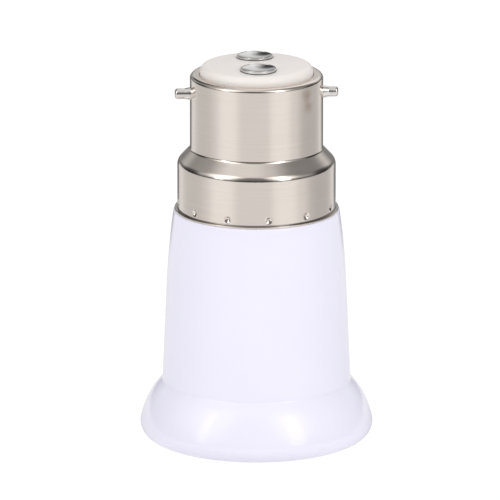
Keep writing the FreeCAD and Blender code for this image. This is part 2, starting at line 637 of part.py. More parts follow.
def make_tag(label, reach, **where):
    body = new_body(label)
    ring = new_sketch(body, "RingCircle", FLOOR_PLANE, "partition_high")
    draw_circle(ring, "tag_ring_radius")
    pad(body, "Ring", ring, "tag_thickness")
    arm = new_sketch(body, "ArmEnd", END_PLANE)
    width = size("tag_arm_width")
    base, thickness = size("partition_high"), size("tag_thickness")
    corners = [Vector(-width / 2, base, 0), Vector(width / 2, base, 0),
               Vector(width / 2, base + thickness, 0), Vector(-width / 2, base + thickness, 0)]
    sides = [arm.addGeometry(Part.LineSegment(corners[i], corners[(i + 1) % 4])) for i in range(4)]
    for i in range(4):
        arm.addConstraint(Sketcher.Constraint("Coincident", sides[i], 2, sides[(i + 1) % 4], 1))
    arm.addConstraint([
        Sketcher.Constraint("Vertical", sides[1]),
        Sketcher.Constraint("Vertical", sides[3]),
        Sketcher.Constraint("Horizontal", sides[2]),
        Sketcher.Constraint("Symmetric", sides[0], 1, sides[0], 2, -2),
    ])
    dimension(arm, "Distance", "tag_arm_width", sides[0])
    dimension(arm, "Distance", "tag_thickness", sides[1])
    dimension(arm, "DistanceY", "partition_high", -1, 1, sides[0], 1)
    pad(body, "Arm", arm, reach)
    barrel = new_sketch(body, "BarrelCircle", FLOOR_PLANE, "partition_high")
    draw_circle(barrel, "barrel_radius", reach)
    pad(body, "Barrel", barrel, "barrel_length")
    drill(body, "RivetHole", "rivet_hole_radius", None, None, "tag_top")
    bore = new_sketch(body, "BarrelBoreCircle", FLOOR_PLANE, "barrel_top")
    draw_circle(bore, "core_hole_radius", reach)
    pocket = body.newObject("PartDesign::Pocket", "BarrelBore")
    pocket.Profile = bore
    pocket.Type = "Length"
    pocket.setExpression("Length", "Sizes.barrel_top - Sizes.tag_top")
    doc.recompute()
    place(body, **where)
    return body


# Leads: a bare copper core from the tag's barrel to the contact's tube, with a sleeve round the
# stretch between them, both on one route of straight runs and two equal bends

def lead_route(body, name, low, high, shift):
    route = new_sketch(body, name, SIDE_PLANE)
    draw_path(route, [
        (None, low, None),
        (None, "lead_bend_low", "lead_bend_radius"),
        (shift, "lead_bend_high", "lead_bend_radius"),
        (shift, high, None),
    ], closed=False)
    return route


def make_lead(label, low, high, shift, radius, bore=None, **where):
    body = new_body(label)
    route = lead_route(body, "Route", low, high, shift)
    section = new_sketch(body, "Section", FLOOR_PLANE, low)
    draw_circle(section, radius)
    sweep = body.newObject("PartDesign::AdditivePipe", "Sweep")
    sweep.Profile = section
    sweep.Spine = route
    doc.recompute()
    if bore:
        hollow = new_sketch(body, "HollowSection", FLOOR_PLANE, low)
        draw_circle(hollow, bore)
        cut = body.newObject("PartDesign::SubtractivePipe", "Hollow")
        cut.Profile = hollow
        cut.Spine = route
        doc.recompute()
    place(body, **where)
    return body


# Bayonet cap: one thin sheet drawn to a skirt, a shoulder and a cylinder, with its top edge rolled
# in over the insulator, its foot turned out on the shelf, and a ring of punch marks into the neck

def make_cap_shell():
    body = new_body("cap_shell")
    revolve(body, "CapWall", [
        ("skirt_inner_radius", "shelf_height", None),
        ("lip_radius", "shelf_height", "lip_round"),
        ("lip_radius", "lip_top", "lip_round"),
        ("skirt_radius", "lip_top", "lip_round"),
        ("skirt_radius", "shoulder_low", "shoulder_round"),
        ("cap_radius", "shoulder_high", "shoulder_fillet"),
        ("cap_radius", "cap_top", "cap_edge_round"),
        ("cap_hole_radius", "cap_top", None),
        ("cap_hole_radius", "cap_top_inside", None),
        ("cap_inner_radius", "cap_top_inside", "cap_edge_round_inside"),
        ("cap_inner_radius", "shoulder_high_inside", "shoulder_fillet_inside"),
        ("skirt_inner_radius", "shoulder_low_inside", "shoulder_round_inside"),
    ])
    drill(body, "PinHoles", "pin_hole_radius", None, "pin_height", plane=END_PLANE)
    bump = punch_marks(body, "PunchBump", "Additive", "dimple_depth",
                       "bump_half_width", "bump_half_length", "skirt_inner_radius")
    doc.recompute()
    bumps = repeat_round(body, "PunchBumps", [bump], "dimple_count")
    dent = punch_marks(body, "PunchDent", "Subtractive", "dimple_depth",
                       "dimple_half_width", "dimple_half_length", "skirt_radius")
    doc.recompute()
    repeat_round(body, "PunchDents", [dent], "dimple_count")
    return body


# Bayonet pins: turned rivets with a tapered collar that stands on the cap's wall and a tenon through it,
# peened to a head inside, drawn upright and laid along X

def make_pin(label, side):
    body = new_body(label)
    revolve(body, "Pin", [
        (None, "pin_head_end", None),
        ("pin_head_radius", "pin_head_end", "pin_head_round"),
        ("pin_head_radius", "pin_head_top", None),
        ("tenon_radius", "pin_head_top", None),
        ("tenon_radius", "cap_radius", None),
        ("pin_collar_radius", "cap_radius", None),
        ("pin_radius", "pin_collar_end", None),
        ("pin_radius", "pin_tip", "pin_tip_round"),
        (None, "pin_tip", None),
    ])
    body.Placement = Placement(Vector(0, 0, 0), Rotation(Vector(0, 1, 0), 90 * side))
    bind(body, "Placement.Base.z", "pin_height")
    return body


# Insulator: plate, collar held under the rolled edge, and a boss that carries the contacts' tubes

def make_insulator():
    body = new_body("cap_insulator")
    revolve(body, "Insulator", [
        (None, "boss_low", None),
        ("boss_radius", "boss_low", None),
        ("boss_radius", "collar_low", None),
        ("collar_radius", "collar_low", None),
        ("collar_radius", "cap_top_inside", "cap_edge_round_inside"),
        ("plate_radius", "cap_top_inside", None),
        ("plate_radius", "plate_side_top", "bow"),
        ("plate_turn_radius", "plate_turn_height", "bow"),
        (None, "plate_top", None),
    ])
    seat = drill(body, "ContactSeat", "contact_seat_radius", None, "contact_offset", "plate_top",
                 depth="contact_sink")
    hole = drill(body, "EyeletHole", "eyelet_hole_radius", None, "contact_offset", "plate_top")
    repeat_round(body, "ContactHoles", [seat, hole], 2)
    return body


# Contacts: a cup with a tube, clinched under the boss, filled with solder that ends in a hollow

def make_eyelet(label, in_front):
    body = new_body(label)
    revolve(body, "Eyelet", [
        ("eyelet_bore_radius", "clinch_low", None),
        ("clinch_radius", "clinch_low", None),
        ("clinch_radius", "boss_low", None),
        ("eyelet_radius", "boss_low", None),
        ("eyelet_radius", "contact_seat", None),
        ("contact_radius", "contact_seat", None),
        ("contact_radius", "contact_top", "contact_edge_round"),
        ("contact_inner_radius", "contact_top", "contact_edge_round"),
        ("contact_inner_radius", "contact_floor_top", None),
        ("eyelet_bore_radius", "contact_floor_top", None),
    ])
    place(body, along="contact_offset", in_front=in_front)
    return body


def make_solder(label, in_front):
    body = new_body(label)
    revolve(body, "Solder", [
        (None, "solder_low", None),
        (None, "solder_middle", "square bow"),
        ("contact_inner_radius", "solder_edge", None),
        ("contact_inner_radius", "contact_floor_top", None),
        ("eyelet_bore_radius", "contact_floor_top", None),
        ("eyelet_bore_radius", "solder_low", None),
    ])
    place(body, along="contact_offset", in_front=in_front)
    return body


# The pieces, from the lamp's end to the cap's end

make_housing()
make_screw_shell()
make_centre_contact()
make_rivet("centre_rivet", "leaf_head_low", "leaf_low", "tag_top", "tagged_head_top", across="rivet_offset")
make_rivet("shell_rivet_front", "shell_head_low", "shell_floor_low", "tag_top", "tagged_head_top",
           along="shell_rivet_offset", in_front=True)
make_rivet("shell_rivet_back", "shell_head_low", "shell_floor_low", "partition_high", "bare_head_top",
           along="shell_rivet_offset")
make_tag("centre_tag", "contact_offset", across="rivet_offset", turn=90)
make_tag("shell_tag", "shell_tag_reach", along="shell_rivet_offset", in_front=True, turn=90)
centre_end = {"across": "rivet_offset", "along": "contact_offset", "turn": 180}
shell_end = {"along": "shell_barrel_place", "in_front": True, "turn": 90}
for end, shift, where in (("centre", "rivet_offset", centre_end), ("shell", "shell_lead_shift", shell_end)):
    make_lead(f"{end}_lead_core", "tag_top", "solder_low", shift, "core_radius", **where)
    make_lead(f"{end}_lead_sleeve", "sleeve_low", "sleeve_high", shift, "sleeve_radius",
              "core_hole_radius", **where)
make_cap_shell()
make_pin("bayonet_pin_left", -1)
make_pin("bayonet_pin_right", 1)
make_insulator()
for side in ("front", "back"):
    make_eyelet(f"contact_eyelet_{side}", side == "front")
    make_solder(f"contact_solder_{side}", side == "front")
doc.recompute()

# Check every object, then write each piece to a file of its own

for thing in doc.Objects:
    if "Invalid" in thing.State or "Error" in thing.State:
        raise RuntimeError(f"{thing.Name} failed: {thing.State}")

pieces = [thing for thing in doc.Objects
          if thing.TypeId == "PartDesign::Body" or thing.TypeId == "Part::Feature"]
os.makedirs("parts", exist_ok=True)
for piece in pieces:
    shape = piece.Shape
    if shape.isNull() or not shape.isValid() or len(shape.Solids) != 1:
        raise RuntimeError(f"{piece.Label} has no single valid solid")
    shape.exportStep(f"parts/{piece.Label}.step")
    print(f"{piece.Label}: {shape.Volume:.2f} mm3")
print(f"{len(pieces)} pieces, lead bends of radius {size('lead_bend_radius'):.1f} mm")
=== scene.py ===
# Lamp socket adapter: a bayonet cap on a white flared housing with a screw socket inside. It stands
# on z = 0 with its pins along X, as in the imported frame. Sizes of its pieces are in millimetres,
# and those of the studio and of the grain of materials are in metres.

import math

import bmesh
import bpy
from mathutils import Matrix, Vector


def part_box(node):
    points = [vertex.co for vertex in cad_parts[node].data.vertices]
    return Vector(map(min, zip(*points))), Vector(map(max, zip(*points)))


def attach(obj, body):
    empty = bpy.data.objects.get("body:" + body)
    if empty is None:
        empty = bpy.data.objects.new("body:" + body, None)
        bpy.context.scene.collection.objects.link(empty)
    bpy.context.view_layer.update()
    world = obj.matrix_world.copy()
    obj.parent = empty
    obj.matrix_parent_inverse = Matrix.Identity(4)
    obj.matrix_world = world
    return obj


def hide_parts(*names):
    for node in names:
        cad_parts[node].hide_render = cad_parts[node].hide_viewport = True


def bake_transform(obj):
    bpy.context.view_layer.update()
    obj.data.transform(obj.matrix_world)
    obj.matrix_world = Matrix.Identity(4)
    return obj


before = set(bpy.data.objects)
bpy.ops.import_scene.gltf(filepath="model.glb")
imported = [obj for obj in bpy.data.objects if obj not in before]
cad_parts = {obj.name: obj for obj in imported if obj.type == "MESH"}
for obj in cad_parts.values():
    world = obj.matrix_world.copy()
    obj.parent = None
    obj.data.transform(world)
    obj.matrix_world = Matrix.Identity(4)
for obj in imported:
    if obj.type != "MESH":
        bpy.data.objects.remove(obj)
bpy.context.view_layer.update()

MM = 0.001
bpy.context.scene.view_settings.view_transform = "Standard"

# Camera: nearly square on from far away, a little above the adapter and a little to its left, so
# the right pin is the farther one. The photograph has 6.036 pixels to a millimetre at the axis.

PHOTO_WIDTH = 500
PHOTO_SCALE = 6.036 / MM
AXIS_COLUMN = 256.5
AIM_HEIGHT = 31.59 * MM
CAMERA_DISTANCE, CAMERA_REACH = 1.5, 20
CAMERA_AZIMUTH = math.radians(-3.8)
CAMERA_ELEVATION = math.radians(15.2)
SENSOR = 36.0

towards_camera = Vector((math.sin(CAMERA_AZIMUTH) * math.cos(CAMERA_ELEVATION),
                         -math.cos(CAMERA_AZIMUTH) * math.cos(CAMERA_ELEVATION),
                         math.sin(CAMERA_ELEVATION)))
picture_right = Vector((math.cos(CAMERA_AZIMUTH), math.sin(CAMERA_AZIMUTH), 0))
aim = Vector((0, 0, AIM_HEIGHT)) - picture_right * ((AXIS_COLUMN - PHOTO_WIDTH / 2) / PHOTO_SCALE)
camera = bpy.data.objects.new("Camera", bpy.data.cameras.new("Camera"))
camera.data.sensor_width = SENSOR
camera.data.lens = PHOTO_SCALE * CAMERA_DISTANCE / PHOTO_WIDTH * SENSOR
camera.data.clip_end = CAMERA_REACH
camera.location = aim + towards_camera * CAMERA_DISTANCE
camera.rotation_euler = towards_camera.to_track_quat("Z", "Y").to_euler()
bpy.context.scene.collection.objects.link(camera)
bpy.context.scene.camera = camera


# Studio: a pale table, an even white surround, and a soft box on each side of the camera. Polished
# metal shows the room itself: darker between the boxes and at the sides, with soft bright windows.

class Wire:
    """An output of a node. Arithmetic on wires adds Math nodes to their tree."""

    def __init__(self, tree, socket):
        self.tree, self.socket = tree, socket

    def __add__(self, other):
        return self.tree.maths("ADD", self, other)

    def __sub__(self, other):
        return self.tree.maths("SUBTRACT", self, other)

    def __rsub__(self, other):
        return self.tree.maths("SUBTRACT", other, self)

    def __mul__(self, other):
        return self.tree.maths("MULTIPLY", self, other)

    def __truediv__(self, other):
        return self.tree.maths("DIVIDE", self, other)

    def __rtruediv__(self, other):
        return self.tree.maths("DIVIDE", other, self)

    __radd__, __rmul__ = __add__, __mul__


class Tree:
    """A node tree that is built one node at a time."""

    def __init__(self, nodes_of):
        self.nodes, self.links = nodes_of.nodes, nodes_of.links
        self.nodes.clear()

    def add(self, kind, settings=None, inputs=None, output=0):
        """Add a node, set it up, feed its sockets with values or wires, and give one output."""
        node = self.nodes.new(kind)
        for name, value in (settings or {}).items():
            if name == "stops":
                ramp = node.color_ramp.elements
                while len(ramp) < len(value):
                    ramp.new(1)
                for stop, (place, colour) in zip(ramp, value):
                    stop.position, stop.color = place, colour
            else:
                setattr(node, name, value)
        for name, value in (inputs or {}).items():
            if isinstance(value, Wire):
                self.links.new(value.socket, node.inputs[name])
            else:
                node.inputs[name].default_value = value
        return Wire(self, node.outputs[output]) if node.outputs else node

    def maths(self, operation, *values):
        return self.add("ShaderNodeMath", {"operation": operation}, dict(enumerate(values)))

    def join(self, *meshes):
        """Join geometries through the one socket that takes several links."""
        node = self.nodes.new("GeometryNodeJoinGeometry")
        for mesh in reversed(meshes):
            self.links.new(mesh.socket, node.inputs[0])
        return Wire(self, node.outputs[0])


def grey(value):
    return (value, value, value, 1)


def towards(azimuth, elevation=0):
    """A direction given in degrees: azimuth to the right of the camera, and elevation above level."""
    a, e = math.radians(azimuth) + CAMERA_AZIMUTH, math.radians(elevation)
    return Vector((math.sin(a) * math.cos(e), -math.cos(a) * math.cos(e), math.sin(e)))


def eased(tree, value, start, end):
    """0 where a value is at start, rising smoothly to 1 at end."""
    return tree.add("ShaderNodeMapRange", {"interpolation_type": "SMOOTHSTEP"},
                    {0: value, 1: start, 2: end})


def lobe(tree, direction, aim, near, far):
    """1 within near degrees of an aim, falling smoothly to 0 at far degrees from it."""
    closeness = tree.add("ShaderNodeVectorMath", {"operation": "DOT_PRODUCT"},
                         {0: direction, 1: aim}, "Value")
    return eased(tree, closeness, math.cos(math.radians(far)), math.cos(math.radians(near)))


def ray(tree, *kinds):
    """1 for a ray of any of these kinds, and 0 for any other."""
    first, *rest = [tree.add("ShaderNodeLightPath", output=f"Is {kind} Ray") for kind in kinds]
    return sum(rest, first)


# The room as metal shows it, by height of the direction: table, dark band, pale ceiling
ROOM_LEVELS = ((0.0, 0.90), (0.47, 0.80), (0.49, 0.16), (0.57, 0.16), (0.66, 0.50), (0.85, 0.68),
               (1.0, 0.68))
# Brighter and darker places in that room: azimuth, elevation, near and far degrees, change
PLACES = ((-6, 20, 18, 36, -0.68), (-119, 38, 8, 30, -0.45), (-52, 32, 4, 32, 1.5),
          (40, 32, 4, 30, 1.3), (180, 24, 12, 50, 0.7), (-112, 10, 5, 24, -0.80),
          (112, 10, 5, 26, -0.80), (-158, 33, 12, 23, -0.93), (-40, 72, 4, 26, 0.25),
          (102, 45, 6, 40, -0.62))
# Tall windows with clear sides: azimuth, near and far degrees; then the elevations of their foot
# and head, and how many degrees those ends fade over
WINDOWS = ((-57, 3, 7), (42, 6, 10))
WINDOW_LEVEL, WINDOW_FOOT, WINDOW_HEAD, WINDOW_EDGE = 1.8, 5, 50, 4
DIFFUSE_SURROUND = 0.775
world = bpy.data.worlds.new("Studio")
world.use_nodes = True
bpy.context.scene.world = world
sky = Tree(world.node_tree)
direction = sky.add("ShaderNodeTexCoord", output="Generated")
rise = sky.add("ShaderNodeSeparateXYZ", inputs={0: direction}, output="Z")
room = sky.add("ShaderNodeValToRGB", {"stops": [(place, grey(level)) for place, level in ROOM_LEVELS]},
               {"Fac": rise * 0.5 + 0.5})
light = 1.0
for azimuth, elevation, near, far, change in PLACES:
    light = (lobe(sky, direction, towards(azimuth, elevation), near, far) * change + 1) * light
level_way = sky.add("ShaderNodeVectorMath", {"operation": "MULTIPLY"}, {0: direction, 1: (1, 1, 0)})
bearing = sky.add("ShaderNodeVectorMath", {"operation": "NORMALIZE"}, {0: level_way})
tall = 1.0
for end, edge in ((WINDOW_FOOT, WINDOW_EDGE), (WINDOW_HEAD, -WINDOW_EDGE)):
    tall = eased(sky, rise, math.sin(math.radians(end)), math.sin(math.radians(end + edge))) * tall
windows = sum(lobe(sky, bearing, towards(azimuth), near, far) for azimuth, near, far in WINDOWS)
mirrored = sky.add("ShaderNodeBackground",
                   inputs={"Color": grey(1), "Strength": room * light + windows * tall * WINDOW_LEVEL})
even = sky.add("ShaderNodeBackground", inputs={"Color": grey(1), "Strength": DIFFUSE_SURROUND})
white = sky.add("ShaderNodeBackground", inputs={"Color": grey(1)})
lit = sky.add("ShaderNodeMixShader", inputs={0: ray(sky, "Glossy"), 1: even, 2: mirrored})
seen = sky.add("ShaderNodeMixShader", inputs={0: ray(sky, "Camera", "Transmission"), 1: lit, 2: white})
sky.add("ShaderNodeOutputWorld", inputs={0: seen})

FLOOR_HALF = 3.0
FLOOR_TINT = 0.86
# How much of the table glows instead of being lit, for the camera and for diffuse light
SEEN_SHARE, LIT_SHARE, WHITE_GLOW = 0.80, 0.40, 1.12
# The table as metal shows it: a plain level, and paler or darker sectors (azimuth, degrees, change).
# The far sectors begin some way off, where only the cap's walls show them
TABLE_LEVEL = 0.82
TABLE_SECTORS = ((-49, 25, 0.18), (41, 25, 0.18), (-104, 34, -0.16), (105, 38, -0.26))
FAR_SECTORS = ((-160, 14, -0.66), (160, 16, -0.62))
FAR_START, FAR_FULL = 0.125, 0.165
floor = bpy.data.objects.new("floor", bpy.data.meshes.new("floor"))
floor_corners = [(x * FLOOR_HALF, y * FLOOR_HALF, 0) for x, y in ((-1, -1), (1, -1), (1, 1), (-1, 1))]
floor.data.from_pydata(floor_corners, [], [(0, 1, 2, 3)])
bpy.context.scene.collection.objects.link(floor)
floor_paint = bpy.data.materials.new("pale_floor")
floor_paint.use_nodes = True
ground = Tree(floor_paint.node_tree)
place = ground.add("ShaderNodeTexCoord", output="Object")
outward = ground.add("ShaderNodeVectorMath", {"operation": "NORMALIZE"}, {0: place})
level = TABLE_LEVEL
for azimuth, spread, change in TABLE_SECTORS:
    level = lobe(ground, outward, towards(azimuth), 0, spread) * change + level
reach = ground.add("ShaderNodeVectorMath", {"operation": "LENGTH"}, {0: place}, "Value")
far_off = eased(ground, reach, FAR_START, FAR_FULL)
for azimuth, spread, change in FAR_SECTORS:
    level = lobe(ground, outward, towards(azimuth), 0, spread) * far_off * change + level
card = ground.add("ShaderNodeBsdfDiffuse", inputs={"Color": grey(FLOOR_TINT)})
glow = ground.add("ShaderNodeEmission", inputs={"Color": grey(1), "Strength": WHITE_GLOW})
mirror_glow = ground.add("ShaderNodeEmission", inputs={"Color": grey(1), "Strength": level})
share = ray(ground, "Camera", "Transmission") * SEEN_SHARE + ray(ground, "Diffuse") * LIT_SHARE
board = ground.add("ShaderNodeMixShader", inputs={0: share, 1: card, 2: glow})
board = ground.add("ShaderNodeMixShader", inputs={0: ray(ground, "Glossy"), 1: board, 2: mirror_glow})
clear = ground.add("ShaderNodeBsdfTransparent")
from_below = ground.add("ShaderNodeNewGeometry", output="Backfacing")
ground.add("ShaderNodeOutputMaterial",
           inputs={0: ground.add("ShaderNodeMixShader", inputs={0: from_below, 1: board, 2: clear})})
floor.data.materials.append(floor_paint)

# Soft boxes: azimuth and elevation in degrees, then distance, width and length, and watts
SOFT_BOXES = (("left_box", -52, 36, 0.60, 0.34, 0.36, 0.60),
              ("right_box", 42, 36, 0.60, 0.32, 0.36, 0.80))
for name, azimuth, elevation, distance, width, length, watts in SOFT_BOXES:
    lamp = bpy.data.objects.new(name, bpy.data.lights.new(name, "AREA"))
    lamp.data.shape, lamp.data.size, lamp.data.size_y = "RECTANGLE", width, length
    lamp.data.energy = watts
    lamp.visible_glossy = False
    lamp.location = Vector((0, 0, AIM_HEIGHT)) + towards(azimuth, elevation) * distance
    lamp.rotation_euler = towards(azimuth, elevation).to_track_quat("Z", "Y").to_euler()
    bpy.context.scene.collection.objects.link(lamp)


# Housing: one injection moulding in glossy white thermoplastic. The flared mouth guides the lamp,
# the bore holds the screw shell, a partition carries the contacts, and the neck goes up in the cap.
# Twelve small recesses round the neck take the punch marks of the cap.

def span(node):
    """A node's reach along +X, its lowest and its highest point, in millimetres."""
    low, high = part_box(node)
    return high.x / MM, low.z / MM, high.z / MM


def arc(centre, radius, start, end, steps):
    """Points on an arc in the (radius, height) plane, angles in degrees from outwards."""
    angles = [math.radians(start + (end - start) * i / steps) for i in range(steps + 1)]
    return [(centre[0] + radius * math.cos(a), centre[1] + radius * math.sin(a)) for a in angles]


def tangent_arc(start, direction, end, steps):
    """Points after start on the arc that leaves it along a direction and ends at end."""
    start, end, direction = Vector(start), Vector(end), Vector(direction).normalized()
    normal = Vector((-direction.y, direction.x))
    chord = end - start
    reach = chord.dot(chord) / (2 * chord.dot(normal))
    centre = start + normal * reach
    turn = 2 * math.asin(min(1, chord.length / (2 * abs(reach)))) * (1 if reach > 0 else -1)
    return [tuple(centre + Matrix.Rotation(turn * i / steps, 2) @ (start - centre))
            for i in range(1, steps + 1)]


def rounded(corners, steps=8, closed=True):
    """Points of an outline through corners (radius, height, rounding)."""
    points = []
    for i, (r, z, rounding) in enumerate(corners):
        here = Vector((r, z))
        if not rounding or not closed and i in (0, len(corners) - 1):
            points.append((r, z))
            continue
        back = (Vector(corners[i - 1][:2]) - here).normalized()
        ahead = (Vector(corners[(i + 1) % len(corners)][:2]) - here).normalized()
        half = back.angle(ahead) / 2
        centre = here + (back + ahead).normalized() * (rounding / math.sin(half))
        first = here + back * (rounding / math.tan(half)) - centre
        last = here + ahead * (rounding / math.tan(half)) - centre
        sweep = first.angle_signed(last)
        points += [tuple(centre + Matrix.Rotation(-sweep * k / steps, 2) @ first)
                   for k in range(steps + 1)]
    return points


def filled(outline, low, high, step):
    """The outline with more points on its sides between two heights, about one step apart."""
    points = []
    for i, (r, z) in enumerate(outline):
        points.append((r, z))
        end_r, end_z = outline[(i + 1) % len(outline)]
        first, last = sorted((max(low, min(high, z)), max(low, min(high, end_z))))
        count = int((last - first) / step)
        if count > 1:
            rows = [first + (last - first) * k / count for k in range(count + 1)]
            for row in rows if end_z > z else reversed(rows):
                if min(abs(row - z), abs(row - end_z)) > step / 4:
                    points.append((r + (end_r - r) * (row - z) / (end_z - z), row))
    return points


def marked_turns(marks, first, fine_half, fine_count, coarse_count):
    """Angles round a ring that lie closer together at each of its evenly spaced marks."""
    sector = 2 * math.pi / marks
    turns = []
    for k in range(marks):
        middle = first + k * sector
        turns += [middle - fine_half + 2 * fine_half * i / fine_count for i in range(fine_count)]
        turns += [middle + fine_half + (sector - 2 * fine_half) * i / coarse_count
                  for i in range(coarse_count)]
    return turns


def lathe(name, outline, turns, sharp=40):
    """A closed solid turned from a closed outline in millimetres, with its faces outwards."""
    mesh = bmesh.new()
    rings = []
    for r, z in outline:
        if r == 0:
            rings.append([mesh.verts.new((0, 0, z * MM))] * len(turns))
        else:
            rings.append([mesh.verts.new((r * MM * math.cos(a), r * MM * math.sin(a), z * MM))
                          for a in turns])
    for low, high in zip(rings, rings[1:] + rings[:1]):
        for i in range(len(turns)):
            j = (i + 1) % len(turns)
            corners = []
            for vert in (low[i], low[j], high[j], high[i]):
                if vert not in corners:
                    corners.append(vert)
            if len(corners) > 2:
                mesh.faces.new(corners)
    bmesh.ops.recalc_face_normals(mesh, faces=mesh.faces)
    return new_piece(name, mesh, sharp)


def new_piece(name, mesh, sharp=40):
    """Make an object of a bmesh, shaded smooth but for edges sharper than so many degrees."""
    piece = bpy.data.objects.new(name, bpy.data.meshes.new(name))
    mesh.to_mesh(piece.data)
    mesh.free()
    piece.data.shade_smooth()
    piece.data.set_sharp_from_angle(angle=math.radians(sharp))
    bpy.context.scene.collection.objects.link(piece)
    return piece


def finish_piece(piece, material, slot, body, *nodes):
    """Give a piece its material and its place among the part's bodies and nodes."""
    piece.data.materials.clear()
    piece.data.materials.append(material)
    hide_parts(*nodes)
    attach(piece, body)


def new_material(name):
    """A material, its node tree, and the place on the object that its patterns follow."""
    material = bpy.data.materials.new(name)
    material.use_nodes = True
    tree = Tree(material.node_tree)
    return material, tree, tree.add("ShaderNodeTexCoord", output="Object")


def close_material(tree, **sockets):
    """End a material in one Principled shader; underscores in the names stand for spaces."""
    named = {name.replace("_", " "): value for name, value in sockets.items()}
    shader = tree.add("ShaderNodeBsdfPrincipled", inputs=named)
    tree.add("ShaderNodeOutputMaterial", inputs={"Surface": shader})


def grain(tree, place, size, detail=2.0, stretch=(1, 1, 1)):
    """Noise whose grains are about one size across, in metres."""
    spread = tree.add("ShaderNodeMapping", inputs={"Vector": place, "Scale": stretch})
    return tree.add("ShaderNodeTexNoise", inputs={"Vector": spread, "Scale": 1 / size, "Detail": detail})


def blend_colours(tree, share, first, second):
    return tree.add("ShaderNodeMix", {"data_type": "RGBA"}, {0: share, 6: first, 7: second}, 2)


def bumped(tree, height, strength, depth):
    return tree.add("ShaderNodeBump", inputs={"Height": height, "Strength": strength, "Distance": depth})


SOCKET_KINDS = {float: "NodeSocketFloat", int: "NodeSocketInt",
                bpy.types.Material: "NodeSocketMaterial", bpy.types.Object: "NodeSocketObject"}


def geometry_tree(name, **kinds):
    """A geometry node tree with a mesh going through it and one named input of each kind given."""
    group = bpy.data.node_groups.new(name, "GeometryNodeTree")
    group.interface.new_socket("Mesh", in_out="INPUT", socket_type="NodeSocketGeometry")
    for label, kind in kinds.items():
        group.interface.new_socket(label.replace("_", " "), in_out="INPUT",
                                   socket_type=SOCKET_KINDS[kind])
    group.interface.new_socket("Mesh", in_out="OUTPUT", socket_type="NodeSocketGeometry")
    tree = Tree(group)
    entry = tree.nodes.new("NodeGroupInput")
    wires = {socket.name: Wire(tree, socket) for socket in entry.outputs if socket.name}
    return group, tree, wires


def close_geometry(tree, mesh, material):
    """End a geometry node tree: no instances are left, and every face has the material."""
    whole = tree.add("GeometryNodeRealizeInstances", inputs={0: mesh})
    coated = tree.add("GeometryNodeSetMaterial", inputs={"Geometry": whole, "Material": material})
    tree.add("NodeGroupOutput", inputs={0: coated})


def worked(piece, group, **values):
    """Run a geometry node tree on a piece and keep what it makes as the piece's plain mesh."""
    modifier = piece.modifiers.new(group.name, "NODES")
    modifier.node_group = group
    for item in group.interface.items_tree:
        key = item.name.replace(" ", "_")
        if item.in_out == "INPUT" and key in values:
            modifier[item.identifier] = values[key]
    bpy.context.view_layer.update()
    made = bpy.data.meshes.new_from_object(piece.evaluated_get(bpy.context.evaluated_depsgraph_get()))
    piece.modifiers.remove(modifier)
    piece.data = made


def radial_place(tree):
    """Angle, radius, height and outward direction of each point of a mesh."""
    point = tree.add("GeometryNodeInputPosition")
    x, y, z = (tree.add("ShaderNodeSeparateXYZ", inputs={0: point}, output=axis) for axis in "XYZ")
    radius = tree.maths("SQRT", x * x + y * y)
    outward = tree.add("ShaderNodeCombineXYZ", inputs={"X": x / radius, "Y": y / radius})
    return tree.maths("ARCTAN2", y, x), radius, z, outward


def push(tree, mesh, outward, distance):
    """Move each point along a direction."""
    offset = tree.add("ShaderNodeVectorMath", {"operation": "SCALE"}, {0: outward, "Scale": distance})
    return tree.add("GeometryNodeSetPosition", inputs={"Geometry": mesh, "Offset": offset})


punch_marks, tree, given = geometry_tree(
    "punch_marks", Count=int, First_Angle=float, Height=float, Half_Width=float, Half_Length=float,
    Depth=float, Inner_Radius=float, Material=bpy.types.Material)
angle, radius, height, outward = radial_place(tree)
sector = 2 * math.pi / given["Count"]
turned = tree.maths("WRAP", angle - given["First Angle"], sector / 2, sector / -2)
across = turned * radius / given["Half Width"]
along = (height - given["Height"]) / given["Half Length"]
distance = tree.maths("MINIMUM", tree.maths("SQRT", across * across + along * along), 1)
hollow = tree.maths("COSINE", distance * math.pi) * 0.5 + 0.5
in_wall = tree.maths("GREATER_THAN", radius, given["Inner Radius"])
marked = push(tree, given["Mesh"], outward, hollow * in_wall * given["Depth"] * -1)
close_geometry(tree, marked, given["Material"])

# Overall reach and heights come from the frame
FLARE_RADIUS, _, NECK_TOP = span("housing")
SHELF = span("cap_shell")[1]
PARTITION_LOW = span("screw_shell")[2]
# Outside: the rounded foot of the flare and the degrees that it turns past upright, the crease
# under the body, the straight taper and the bow above it, as (radius, height)
FOOT_ROUND, FLARE_TURN, RIM_FLAT = 2.4, 11.7, 0.1
CREASE, TAPER_END, BODY_TOP = (15.62, 9.7), (14.86, 27.0), (13.72, SHELF)
CREASE_ROUND, TOP_EDGE_ROUND = 0.4, 0.3
# Inside: the mouth, the bore, the partition and the neck
MOUTH_RADIUS, MOUTH_END, MOUTH_DEPTH, MOUTH_EDGE, MOUTH_SHOULDER = 15.8, 15.1, 6.3, 0.3, 1.0
BORE_RADIUS, BORE_ROUND, PARTITION_THICKNESS = 14.05, 0.3, 2.5
NECK_RADIUS, NECK_WALL, NECK_LEAD, NECK_EDGE, NECK_FOOT_ROUND = 12.7, 1.5, 0.5, 0.2, 0.4
# Punch marks: how many, where the first is, and their sizes. The moulding's recesses are this many
# times as wide and a little deeper, and no wall inside MARK_INSIDE is marked
MARKS, FIRST_MARK, MARK_RISE = 12, math.radians(275), 1.35
MARK_HALF_WIDTH, MARK_HALF_LENGTH, MARK_DEPTH, MARK_INSIDE = 0.66, 0.72, 0.30, 12
RECESS_SPREAD, RECESS_ROOM = 1.2, 0.05
